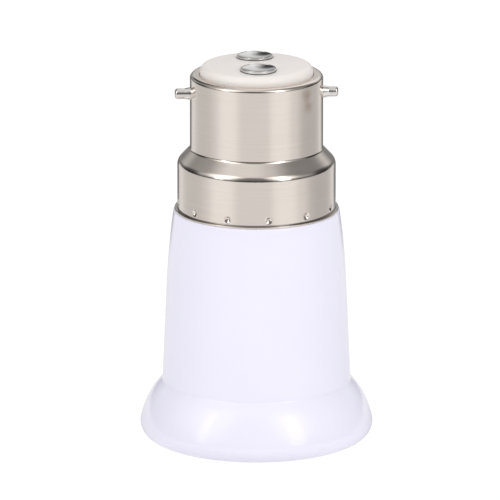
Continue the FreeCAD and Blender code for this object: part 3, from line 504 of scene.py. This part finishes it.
# Fineness: steps along the arcs, how many of their last points a rounded corner takes the place of,
# and the mesh at the marks and up the body
FOOT_STEPS, FLANK_STEPS, BOW_STEPS, CREASE_TRIM, TOP_TRIM = 20, 28, 20, 5, 2
FINE_HALF, FINE_COUNT, COARSE_COUNT = math.radians(3.6), 12, 10
MARK_BAND, MARK_ROW, BODY_ROWS = 1, 0.11, (10, TAPER_END[1], 1.5)

marked_ring = marked_turns(MARKS, FIRST_MARK, FINE_HALF, FINE_COUNT, COARSE_COUNT)
mark_height = SHELF + MARK_RISE
mark_rows = (mark_height - MARK_BAND, mark_height + MARK_BAND, MARK_ROW)
partition_high = PARTITION_LOW + PARTITION_THICKNESS
foot = arc((FLARE_RADIUS - FOOT_ROUND, FOOT_ROUND), FOOT_ROUND, -90, FLARE_TURN, FOOT_STEPS)
turn = math.radians(FLARE_TURN)
flank = tangent_arc(foot[-1], (-math.sin(turn), math.cos(turn)), CREASE, FLANK_STEPS)
taper = (TAPER_END[0] - CREASE[0], TAPER_END[1] - CREASE[1])
bow = tangent_arc(TAPER_END, taper, BODY_TOP, BOW_STEPS)
crease = rounded([(*flank[-CREASE_TRIM - 1], 0), (*CREASE, CREASE_ROUND), (*TAPER_END, 0)],
                 closed=False)[1:]
top_edge = rounded([(*bow[-TOP_TRIM - 1], 0), (*BODY_TOP, TOP_EDGE_ROUND), (NECK_RADIUS, SHELF, 0)],
                   closed=False)[1:]
inside = rounded([
    (NECK_RADIUS, NECK_TOP, NECK_LEAD), (NECK_RADIUS - NECK_WALL, NECK_TOP, NECK_EDGE),
    (NECK_RADIUS - NECK_WALL, partition_high, NECK_FOOT_ROUND), (0, partition_high, 0),
    (0, PARTITION_LOW, 0), (BORE_RADIUS, PARTITION_LOW, BORE_ROUND),
    (BORE_RADIUS, MOUTH_DEPTH, BORE_ROUND), (MOUTH_END, MOUTH_DEPTH, MOUTH_SHOULDER),
    (MOUTH_RADIUS, 0, MOUTH_EDGE), (FLARE_RADIUS - FOOT_ROUND - RIM_FLAT, 0, 0),
])
wall = foot + flank[:-CREASE_TRIM] + crease + bow[:-TOP_TRIM] + top_edge + inside
housing = lathe("housing_moulding", filled(filled(wall, *mark_rows), *BODY_ROWS), marked_ring, sharp=30)

WHITE_DEEP, WHITE_PALE = (0.845, 0.828, 0.955, 1), (0.872, 0.855, 0.975, 1)
# Grains in metres: slow changes of tint, the faint ripple of a moulded skin, and fine specks
WHITE_CLOUD, WHITE_RIPPLE, SPECK = 0.012, 0.0009, 0.0002
moulding, tree, place = new_material("white_moulding")
cloud = grain(tree, place, WHITE_CLOUD)
ripple = grain(tree, place, WHITE_RIPPLE, 3.0)
speck = grain(tree, place, SPECK)
close_material(tree, Base_Color=blend_colours(tree, cloud, WHITE_DEEP, WHITE_PALE),
               Roughness=0.11 + cloud * 0.04 + speck * 0.02,
               Normal=bumped(tree, ripple, 0.05, 0.00006), IOR=1.5)
worked(housing, punch_marks, Count=MARKS, First_Angle=FIRST_MARK, Height=mark_height * MM,
       Half_Width=MARK_HALF_WIDTH * MM * RECESS_SPREAD,
       Half_Length=MARK_HALF_LENGTH * MM * RECESS_SPREAD,
       Depth=(MARK_DEPTH + RECESS_ROOM) * MM, Inner_Radius=MARK_INSIDE * MM, Material=moulding)
finish_piece(housing, moulding, "white_moulding", "root", "housing")


# Screw shell: thin nickel-plated brass sheet drawn to a cup, with the lamp thread rolled into its
# wall. It is riveted under the partition, and its plain collar at the mouth guides the lamp.

# Thread: its pitch and depth, how far it fades in and out, and where it ends under the floor
PITCH, THREAD_DEPTH, THREAD_FADE, THREAD_END_GAP = 3.629, 1.05, 1.6, 1.2
SHEET, SHELL_RADIUS, SHELL_BEND, WINDOW_RADIUS, WINDOW_ROUND = 0.32, 13.3, 0.5, 7.4, 0.08
COLLAR_STEP, COLLAR_LENGTH, COLLAR_MOUTH_ROUND, STEP_ROUND = 0.3, 2.0, 0.1, 0.15
SHELL_TURNS, THREAD_ROW, ROWS_END_GAP = 168, 0.24, 1
SHELL_MOUTH = span("screw_shell")[1]
collar_radius = SHELL_RADIUS + COLLAR_STEP
collar_top = SHELL_MOUTH + COLLAR_LENGTH
step_top = collar_top + COLLAR_STEP
shell_wall = rounded([
    (collar_radius, SHELL_MOUTH, COLLAR_MOUTH_ROUND),
    (collar_radius + SHEET, SHELL_MOUTH, COLLAR_MOUTH_ROUND),
    (collar_radius + SHEET, collar_top, STEP_ROUND), (SHELL_RADIUS + SHEET, step_top, STEP_ROUND),
    (SHELL_RADIUS + SHEET, PARTITION_LOW, SHELL_BEND + SHEET),
    (WINDOW_RADIUS, PARTITION_LOW, WINDOW_ROUND), (WINDOW_RADIUS, PARTITION_LOW - SHEET, WINDOW_ROUND),
    (SHELL_RADIUS, PARTITION_LOW - SHEET, SHELL_BEND), (SHELL_RADIUS, step_top, STEP_ROUND),
    (collar_radius, collar_top, STEP_ROUND),
], 5)


def even_turns(count):
    """Angles round a ring, all the same distance apart."""
    return [2 * math.pi * i / count for i in range(count)]


shell_rows = filled(shell_wall, step_top, PARTITION_LOW - ROWS_END_GAP, THREAD_ROW)
shell = lathe("thread_shell", shell_rows, even_turns(SHELL_TURNS), sharp=50)

screw_thread, tree, given = geometry_tree(
    "screw_thread", Pitch=float, Depth=float, Low=float, High=float, Fade=float,
    Material=bpy.types.Material)
angle, radius, height, outward = radial_place(tree)
phase = height / given["Pitch"] * (2 * math.pi) - angle
crest = 0.5 - tree.maths("COSINE", phase) * 0.5
runs_in = eased(tree, height, given["Low"], given["Low"] + given["Fade"])
runs_out = eased(tree, height, given["High"], given["High"] - given["Fade"])
threaded = push(tree, given["Mesh"], outward, crest * runs_in * runs_out * given["Depth"] * -1)
close_geometry(tree, threaded, given["Material"])


# Metal's grains in metres: cloudiness of its tint, slow swell of its surface, height of its lines
METAL_CLOUD, METAL_SWELL, LINE_HEIGHT = 0.005, 0.004, 0.000002


def plated(name, pale, deep, roughness, line=0.00012, stretch=(0.05, 0.05, 1), wave=0.00002):
    """Metal with a faint cloudiness, fine lines from its making, and a slightly wavy surface."""
    material, tree, place = new_material(name)
    cloud = grain(tree, place, METAL_CLOUD, 3.0)
    lines = grain(tree, place, line, 3.0, stretch)
    swell = grain(tree, place, METAL_SWELL)
    tint = blend_colours(tree, cloud * 0.7 + lines * 0.3, (*deep, 1), (*pale, 1))
    close_material(tree, Base_Color=tint, Roughness=roughness + (cloud + lines) * 0.06, Metallic=1.0,
                   Normal=bumped(tree, swell * wave + lines * LINE_HEIGHT, 1.0, 1.0))
    return material


shell_metal = plated("shell_plating", (0.80, 0.75, 0.66), (0.70, 0.64, 0.55), 0.20)
worked(shell, screw_thread, Pitch=PITCH * MM, Depth=THREAD_DEPTH * MM, Low=step_top * MM,
       High=(PARTITION_LOW - THREAD_END_GAP) * MM, Fade=THREAD_FADE * MM, Material=shell_metal)
finish_piece(shell, shell_metal, "shell_sheet", "root", "screw_shell")


# Centre contact: a phosphor bronze strip cut with round corners and bent to a sloping tongue with a
# curled tip. Its foot is riveted under the partition, and its tongue gives way to the lamp.

STRIP, STRIP_WIDTH, CORNER_ROUND = 0.3, 5.0, 1.0
FOOT_END, FOOT_LENGTH, TONGUE, CURL = 5.8, 3.7, 5.0, 2.1
SLOPE, CURL_TURN = math.radians(38), math.radians(48)
ROOT_BEND, TIP_BEND, BEND_REACH = 1.1, 1.0, 0.45
ACROSS_STEPS, END_STEPS, BEND_STEPS = 14, 8, 12
SAME_PLACE = 1e-9
slope_end = (FOOT_LENGTH + TONGUE * math.cos(SLOPE), PARTITION_LOW - TONGUE * math.sin(SLOPE))
tip_end = (slope_end[0] + CURL * math.cos(CURL_TURN), slope_end[1] + CURL * math.sin(CURL_TURN))
upper_line = rounded([(0, PARTITION_LOW, 0), (FOOT_LENGTH, PARTITION_LOW, ROOT_BEND),
                      (*slope_end, TIP_BEND), (*tip_end, 0)], BEND_STEPS, closed=False)


def strip_rows(line, corner, steps):
    """Points along a line with their heading and how far the nearer end is, closer at the ends."""
    points = [Vector(p) for p in line]
    lengths = [0.0]
    for before, after in zip(points, points[1:]):
        lengths.append(lengths[-1] + (after - before).length)
    total = lengths[-1]
    ends = [corner * (1 - math.cos(math.pi / 2 * i / steps)) for i in range(steps + 1)]
    middle = [corner + (total - 2 * corner) * i / (4 * steps) for i in range(1, 4 * steps)]
    rows = []
    for way in ends + middle + [total - way for way in reversed(ends)]:
        k = max(i for i in range(len(points) - 1) if lengths[i] <= way + SAME_PLACE)
        share = (way - lengths[k]) / (lengths[k + 1] - lengths[k])
        heading = (points[k + 1] - points[k]).normalized()
        rows.append((points[k].lerp(points[k + 1], share), heading, min(way, total - way)))
    return rows


# Rows of points across the upper and the lower face, then the faces, then the edge all round
mesh = bmesh.new()
layers = ([], [])
for spot, heading, to_end in strip_rows(upper_line, CORNER_ROUND, END_STEPS):
    short = max(0.0, CORNER_ROUND - to_end)
    half = STRIP_WIDTH / 2 - CORNER_ROUND + math.sqrt(max(0.0, CORNER_ROUND ** 2 - short ** 2))
    under = spot + Vector((heading.y, -heading.x)) * STRIP
    for layer, (reach, z) in zip(layers, (spot, under)):
        offsets = [half * (2 * j / ACROSS_STEPS - 1) for j in range(ACROSS_STEPS + 1)]
        layer.append([mesh.verts.new(((FOOT_END - reach) * MM, y * MM, z * MM)) for y in offsets])
for layer in layers:
    for row, following in zip(layer, layer[1:]):
        for j in range(ACROSS_STEPS):
            mesh.faces.new((row[j], row[j + 1], following[j + 1], following[j]))
rims = [[row[0] for row in layer] + layer[-1][1:-1] + [row[-1] for row in reversed(layer)]
        + list(reversed(layer[0][1:-1])) for layer in layers]
for i in range(len(rims[0])):
    j = (i + 1) % len(rims[0])
    mesh.faces.new((rims[0][i], rims[0][j], rims[1][j], rims[1][i]))
bmesh.ops.recalc_face_normals(mesh, faces=mesh.faces)
strip = new_piece("contact_strip", mesh)
bronze = plated("phosphor_bronze", (0.83, 0.60, 0.38), (0.70, 0.46, 0.26), 0.24,
                line=0.0001, stretch=(1, 0.05, 1))
strip.data.materials.append(bronze)
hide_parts("centre_contact")
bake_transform(strip)


# Rivets: three nickel-plated brass rivets through the partition, with a formed head below and a
# clinched head above. The middle one holds the contact strip, the outer two hold the screw shell.

RIVET_RADIUS, HEAD_RADIUS, HEAD_HEIGHT, HEAD_ROUND, TAG_THICKNESS = 0.8, 1.45, 0.55, 0.35, 0.4
CONTACT_RIVET, SHELL_RIVET, RIVET_TURNS = 4.0, 9.4, 48
# Rounding of an edge that looks sharp
CLEAN_EDGE = 0.05
tag_top = partition_high + TAG_THICKNESS
# Each rivet's place across and along, then the faces that its two heads grip
RIVETS = ((CONTACT_RIVET, 0, PARTITION_LOW - STRIP, tag_top),
          (0, -SHELL_RIVET, PARTITION_LOW - SHEET, tag_top),
          (0, SHELL_RIVET, PARTITION_LOW - SHEET, partition_high))
head = lathe("rivet_head", rounded([
    (0, 0, 0), (HEAD_RADIUS, 0, CLEAN_EDGE), (HEAD_RADIUS, HEAD_HEIGHT, HEAD_ROUND),
    (0, HEAD_HEIGHT, 0),
]), even_turns(RIVET_TURNS), sharp=50)

rivet_set, tree, given = geometry_tree(
    "rivet_set", Head=bpy.types.Object, Shank_Radius=float, Turns=int, Middle_Height=float,
    Material=bpy.types.Material)
height = tree.add("ShaderNodeSeparateXYZ", inputs={0: tree.add("GeometryNodeInputPosition")}, output="Z")
upside_down = tree.maths("LESS_THAN", height, given["Middle Height"]) * math.pi
tilt = tree.add("FunctionNodeEulerToRotation",
                inputs={0: tree.add("ShaderNodeCombineXYZ", inputs={"X": upside_down})})
shape = tree.add("GeometryNodeObjectInfo", inputs={"Object": given["Head"]}, output="Geometry")
heads = tree.add("GeometryNodeInstanceOnPoints",
                 inputs={"Points": given["Mesh"], "Instance": shape, "Rotation": tilt})
ring = tree.add("GeometryNodeCurvePrimitiveCircle",
                inputs={"Resolution": given["Turns"], "Radius": given["Shank Radius"]})
shanks = tree.add("GeometryNodeCurveToMesh", inputs={
    "Curve": tree.add("GeometryNodeMeshToCurve", inputs={"Mesh": given["Mesh"]}),
    "Profile Curve": ring, "Fill Caps": True})
close_geometry(tree, tree.join(heads, shanks), given["Material"])

mesh = bmesh.new()
for across, along, low, high in RIVETS:
    mesh.edges.new([mesh.verts.new((across * MM, along * MM, z * MM)) for z in (low, high)])
rivets = new_piece("rivets", mesh)
rivet_metal = plated("rivet_plating", (0.80, 0.76, 0.69), (0.66, 0.61, 0.54), 0.22,
                     line=0.0002, stretch=(1, 1, 1))
worked(rivets, rivet_set, Head=head, Shank_Radius=RIVET_RADIUS * MM, Turns=RIVET_TURNS,
       Middle_Height=(PARTITION_LOW + PARTITION_THICKNESS / 2) * MM, Material=rivet_metal)
bpy.data.objects.remove(head)
finish_piece(rivets, rivet_metal, "rivet_metal", "root",
             "centre_rivet", "shell_rivet_front", "shell_rivet_back")


# Wire tags and leads, inside the neck: tinned brass tags under two of the rivets, and two short
# copper leads in red silicone sleeves that run up to the end contacts. The frame's own shapes serve.

def dress(material, *nodes):
    """Give nodes of the frame a material in place of their plain one."""
    for node in nodes:
        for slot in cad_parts[node].material_slots:
            slot.material = material


tin = plated("tinned_brass", (0.76, 0.75, 0.73), (0.60, 0.59, 0.57), 0.28,
             line=0.0002, stretch=(1, 1, 1))
copper = plated("bare_copper", (0.86, 0.50, 0.33), (0.66, 0.32, 0.20), 0.30,
                line=0.00015, stretch=(1, 1, 0.1))
dress(tin, "centre_tag", "shell_tag")
dress(copper, "centre_lead_core", "shell_lead_core")
RED_DEEP, RED_PALE, RED_CLOUD = (0.50, 0.045, 0.035, 1), (0.62, 0.07, 0.05, 1), 0.003
silicone, tree, place = new_material("red_silicone")
cloud, speck = grain(tree, place, RED_CLOUD, 3.0), grain(tree, place, SPECK)
close_material(tree, Base_Color=blend_colours(tree, cloud, RED_DEEP, RED_PALE),
               Roughness=0.42 + speck * 0.14, Normal=bumped(tree, speck, 0.2, 0.00003))
dress(silicone, "centre_lead_sleeve", "shell_lead_sleeve")


# Bayonet cap: one brass sheet drawn to a skirt, a shoulder and a cylinder, satin nickel plated. Its
# top edge is rolled in over the insulator, its foot is turned out on the housing's shelf, and a
# ring of punch marks locks it on the neck.

CAP_SHEET, LIP_THICKNESS, LIP_ROUND, HOLE_ROUND = 0.35, 0.35, 0.12, 0.12
SKIRT_RADIUS, CAP_RADIUS, ROLL_WIDTH = 13.1, 11.0, 1.55
SKIRT_HEIGHT, SHOULDER_HEIGHT = 8.3, 2.25
SHOULDER_ROUND, SHOULDER_FILLET, EDGE_ROUND = 1.7, 0.7, 0.65
CAP_ROW, CAP_CORNER_STEPS = 0.8, 12
LIP_RADIUS, _, CAP_TOP = span("cap_shell")
shoulder_low = SHELF + SKIRT_HEIGHT
shoulder_high = shoulder_low + SHOULDER_HEIGHT
lip_top = SHELF + LIP_THICKNESS
skirt_inside, cap_inside = SKIRT_RADIUS - CAP_SHEET, CAP_RADIUS - CAP_SHEET
hole_radius = CAP_RADIUS - ROLL_WIDTH
# How much lower the sheet's inner face has its two bends at the shoulder
inner_drop = CAP_SHEET * math.tan(math.atan2(SKIRT_RADIUS - CAP_RADIUS, SHOULDER_HEIGHT) / 2)
cap_wall = rounded([
    (skirt_inside, SHELF, CLEAN_EDGE), (LIP_RADIUS, SHELF, LIP_ROUND),
    (LIP_RADIUS, lip_top, LIP_ROUND), (SKIRT_RADIUS, lip_top, LIP_ROUND),
    (SKIRT_RADIUS, shoulder_low, SHOULDER_ROUND), (CAP_RADIUS, shoulder_high, SHOULDER_FILLET),
    (CAP_RADIUS, CAP_TOP, EDGE_ROUND), (hole_radius, CAP_TOP, HOLE_ROUND),
    (hole_radius, CAP_TOP - CAP_SHEET, HOLE_ROUND),
    (cap_inside, CAP_TOP - CAP_SHEET, EDGE_ROUND - CAP_SHEET),
    (cap_inside, shoulder_high - inner_drop, SHOULDER_FILLET + CAP_SHEET),
    (skirt_inside, shoulder_low - inner_drop, SHOULDER_ROUND - CAP_SHEET),
], CAP_CORNER_STEPS)
cap_rows = filled(filled(cap_wall, *mark_rows), SHELF, CAP_TOP, CAP_ROW)
cap = lathe("cap", cap_rows, marked_ring, sharp=30)

NICKEL_DEEP, NICKEL_PALE = (0.745, 0.672, 0.615, 1), (0.835, 0.765, 0.705, 1)
NICKEL_CLOUD, NICKEL_SWELL, DRAWN_LINE = 0.006, 0.005, 0.0003
# Two brown patches beside the right pin: place and spread in metres, then, as shares of that
# spread, how far a patch's edge wanders, where it starts and where it is full
BROWN_PATCHES = (((0.0079, -0.0077, 0.0598), 0.0014), ((0.0081, -0.0075, 0.0579), 0.0015))
PATCH_BROWN, PATCH_WANDER, PATCH_START, PATCH_FULL = (0.42, 0.27, 0.17, 1), 1.2, 1.9, 0.5
# Painted shade: a dark line in the corner over the turned-out foot. Its height over the foot, and
# where it starts and is full, above and below that height
CORNER_SHADE_COLOUR, CORNER_RISE, CORNER_START, CORNER_FULL = (0.16, 0.14, 0.13, 1), 0.05, 0.20, 0.04
nickel, tree, place = new_material("satin_nickel")
cloud = grain(tree, place, NICKEL_CLOUD, 3.0)
drawn = grain(tree, place, DRAWN_LINE, 4.0, (0.02, 0.02, 1)) * 2 - 0.5
swell = grain(tree, place, NICKEL_SWELL)
brown_patch = 0
for spot, spread in BROWN_PATCHES:
    away = tree.add("ShaderNodeVectorMath", {"operation": "DISTANCE"}, {0: place, 1: spot}, "Value")
    brown_patch = eased(tree, away + cloud * spread * PATCH_WANDER,
                  spread * PATCH_START, spread * PATCH_FULL) + brown_patch
up = tree.add("ShaderNodeSeparateXYZ", inputs={0: place}, output="Z")
from_corner = tree.maths("ABSOLUTE", up - (lip_top + CORNER_RISE) * MM)
corner = eased(tree, from_corner, CORNER_START * MM, CORNER_FULL * MM)
clean = blend_colours(tree, cloud * 0.6 + drawn * 0.4, NICKEL_DEEP, NICKEL_PALE)
# Painted shade: the corner line darkens the plating's colour
clean = blend_colours(tree, corner * 0.7, clean, CORNER_SHADE_COLOUR)
close_material(tree, Base_Color=blend_colours(tree, brown_patch * 0.55, clean, PATCH_BROWN),
               Roughness=0.09 + drawn * 0.05 + cloud * 0.05 + brown_patch * 0.1, Metallic=1.0,
               Normal=bumped(tree, swell * 0.00003 + drawn * LINE_HEIGHT, 1.0, 1.0))
worked(cap, punch_marks, Count=MARKS, First_Angle=FIRST_MARK, Height=mark_height * MM,
       Half_Width=MARK_HALF_WIDTH * MM, Half_Length=MARK_HALF_LENGTH * MM, Depth=MARK_DEPTH * MM,
       Inner_Radius=MARK_INSIDE * MM, Material=nickel)
finish_piece(cap, nickel, "nickel_cap", "root", "cap_shell")


# Bayonet pins: turned nickel-plated brass. A tapered collar stands on the cap's wall, and a thin
# tenon goes through it and is peened over inside.

# The collar's foot is set into the cap's wall by PIN_SEAT, so that the round wall leaves no gap
PIN_RADIUS, PIN_TIP_ROUND, PIN_SEAT, PIN_TURNS = 0.88, 0.45, 0.06, 64
PIN_COLLAR_RADIUS, PIN_COLLAR, COLLAR_EDGE, COLLAR_BLEND = 1.08, 0.9, 0.04, 0.3
TENON_RADIUS, PEEN_RADIUS, PEEN_THICKNESS, PEEN_ROUND = 0.7, 1.4, 0.5, 0.15
PIN_TIP = span("bayonet_pin_right")[0]
PIN_HEIGHT = sum(span("bayonet_pin_right")[1:]) / 2
PIN_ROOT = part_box("bayonet_pin_right")[0].x / MM
peen_top, pin_seat = PIN_ROOT + PEEN_THICKNESS, CAP_RADIUS - PIN_SEAT
pin_metal = plated("pin_plating", (0.84, 0.80, 0.77), (0.74, 0.70, 0.66), 0.13,
                   line=0.0001, stretch=(1, 0.05, 0.05), wave=0.00001)
for name, side in (("bayonet_pin_left", -1), ("bayonet_pin_right", 1)):
    pin = lathe(name + "_turned", rounded([
        (0, PIN_ROOT, 0), (PEEN_RADIUS, PIN_ROOT, PEEN_ROUND), (PEEN_RADIUS, peen_top, CLEAN_EDGE),
        (TENON_RADIUS, peen_top, 0), (TENON_RADIUS, pin_seat, 0),
        (PIN_COLLAR_RADIUS, pin_seat, COLLAR_EDGE), (PIN_RADIUS, CAP_RADIUS + PIN_COLLAR, COLLAR_BLEND),
        (PIN_RADIUS, PIN_TIP, PIN_TIP_ROUND), (0, PIN_TIP, 0),
    ]), even_turns(PIN_TURNS))
    pin.data.transform(Matrix.Translation((0, 0, PIN_HEIGHT * MM))
                       @ Matrix.Rotation(math.pi / 2 * side, 4, "Y"))
    finish_piece(pin, pin_metal, "nickel_pin", "root", name)


# Insulator: a glossy ivory moulding held under the cap's rolled edge, with a slightly domed plate
# and two seats for the contacts. The frame's own shape serves.

IVORY_DEEP, IVORY_PALE = (0.825, 0.775, 0.74, 1), (0.875, 0.825, 0.79, 1)
IVORY_CLOUD, IVORY_FLOW = 0.004, 0.0015
ivory, tree, place = new_material("ivory_moulding")
cloud = grain(tree, place, IVORY_CLOUD, 3.0)
flow = grain(tree, place, IVORY_FLOW, stretch=(1, 0.3, 1))
speck = grain(tree, place, SPECK)
tint = blend_colours(tree, cloud * 0.6 + flow * 0.4, IVORY_DEEP, IVORY_PALE)
close_material(tree, Base_Color=tint, Roughness=0.30 + flow * 0.08 + speck * 0.04,
               Subsurface_Weight=0.4, Subsurface_Radius=(1.0, 0.9, 0.8), Subsurface_Scale=0.0012,
               Normal=bumped(tree, flow + speck * 0.1, 0.25, 0.00003), IOR=1.5)
dress(ivory, "cap_insulator")


# End contacts: two nickel-plated eyelets, each a shallow cup whose tube runs down through the
# insulator and is clinched below it. Solder fills the tube and ends in a bright hollow in the cup.

CUP_RADIUS, CUP_RIM, CUP_ROUND, CUP_FLOOR, CUP_RISE, CUP_SINK = 2.95, 0.13, 0.05, 0.2, 0.3, 0.45
TUBE_RADIUS, TUBE_WALL, TUBE_FILLET, CLINCH_WIDTH, CLINCH_ROUND = 1.3, 0.25, 0.03, 0.6, 0.1
SOLDER_DEPTH, HOLLOW_DEPTH, BOWL_STEPS, CUP_TURNS = 2.6, 0.42, 20, 96
CONTACT_OFFSET, DOME_RADIUS = 4.4, 140
_, CLINCH_LOW, CUP_TOP = span("contact_eyelet_front")
plate_top = CUP_TOP - CUP_RISE
cup_seat = plate_top - CUP_SINK
cup_floor = cup_seat + CUP_FLOOR
cup_inside, tube_bore = CUP_RADIUS - CUP_RIM, TUBE_RADIUS - TUBE_WALL
solder_edge, solder_low = CUP_TOP - CUP_RIM / 2, plate_top - SOLDER_DEPTH

CUP_DEEP, CUP_PALE, FROST = (0.70, 0.69, 0.67, 1), (0.80, 0.79, 0.77, 1), 0.0005
# Painted shade: a dark seam round the foot of the cup, where it stands on the domed plate. It is
# only on the outside, between these shares of the cup's radius, and fades out between these heights
# above the plate
SEAM_SHADE_COLOUR, SEAM_NONE, SEAM_WALL, SEAM_END, SEAM_FULL = (0.10, 0.09, 0.08, 1), 0.97, 0.99, 0.20, 0.09
cup_metal, tree, place = new_material("contact_plating")
across, along, up = (tree.add("ShaderNodeSeparateXYZ", inputs={0: place}, output=axis) for axis in "XYZ")
off_centre = tree.maths("ABSOLUTE", along) - CONTACT_OFFSET * MM
from_axis = tree.maths("SQRT", across * across + off_centre * off_centre)
above = up + (across * across + along * along) / (2 * DOME_RADIUS * MM) - plate_top * MM
on_wall = tree.add("ShaderNodeMapRange", inputs={
    0: from_axis, 1: SEAM_NONE * CUP_RADIUS * MM, 2: SEAM_WALL * CUP_RADIUS * MM})
# Painted shade on the cup's outer wall, darkest next to the plate
seam_shade = on_wall * eased(tree, above, SEAM_END * MM, SEAM_FULL * MM)
frost = grain(tree, place, FROST, 3.0)
clean = blend_colours(tree, frost, CUP_DEEP, CUP_PALE)
close_material(tree, Base_Color=blend_colours(tree, seam_shade * 0.9, clean, SEAM_SHADE_COLOUR),
               Roughness=0.12 + frost * 0.08 + seam_shade * 0.15, Metallic=1.0)

SOLDER_DEEP, SOLDER_PALE, SOLDER_RIPPLE = (0.60, 0.595, 0.59, 1), (0.72, 0.715, 0.70, 1), 0.0016
solder_metal, tree, place = new_material("bright_solder")
frost, ripple = grain(tree, place, FROST, 3.0), grain(tree, place, SOLDER_RIPPLE)
close_material(tree, Base_Color=blend_colours(tree, frost, SOLDER_DEEP, SOLDER_PALE),
               Roughness=0.09 + frost * 0.08, Metallic=1.0,
               Normal=bumped(tree, ripple * 0.00003 + frost * 0.000003, 1.0, 1.0))

for side in ("front", "back"):
    middle = Matrix.Translation((0, CONTACT_OFFSET * MM * (-1 if side == "front" else 1), 0))
    cup = lathe(f"contact_cup_{side}", rounded([
        (tube_bore, CLINCH_LOW, CLINCH_ROUND), (TUBE_RADIUS + CLINCH_WIDTH, CLINCH_LOW, CLINCH_ROUND),
        (TUBE_RADIUS + CLINCH_WIDTH, CLINCH_LOW + TUBE_WALL, CLEAN_EDGE),
        (TUBE_RADIUS, CLINCH_LOW + TUBE_WALL, TUBE_FILLET), (TUBE_RADIUS, cup_seat, CLEAN_EDGE),
        (CUP_RADIUS, cup_seat, CLINCH_ROUND), (CUP_RADIUS, CUP_TOP, CUP_ROUND),
        (cup_inside, CUP_TOP, CUP_ROUND), (cup_inside, cup_floor, CLEAN_EDGE), (tube_bore, cup_floor, 0),
    ], 5), even_turns(CUP_TURNS), sharp=50)
    cup.data.transform(middle)
    finish_piece(cup, cup_metal, "contact_metal", "root", f"contact_eyelet_{side}")
    bowl_low = (0, solder_edge - HOLLOW_DEPTH)
    bowl = tangent_arc(bowl_low, (1, 0), (cup_inside, solder_edge), BOWL_STEPS)
    solder = lathe(f"solder_{side}", [(0, solder_low), bowl_low] + bowl + [
        (cup_inside, cup_floor), (tube_bore, cup_floor), (tube_bore, solder_low)], even_turns(CUP_TURNS))
    solder.data.transform(middle)
    finish_piece(solder, solder_metal, "solder", "root", f"contact_solder_{side}")
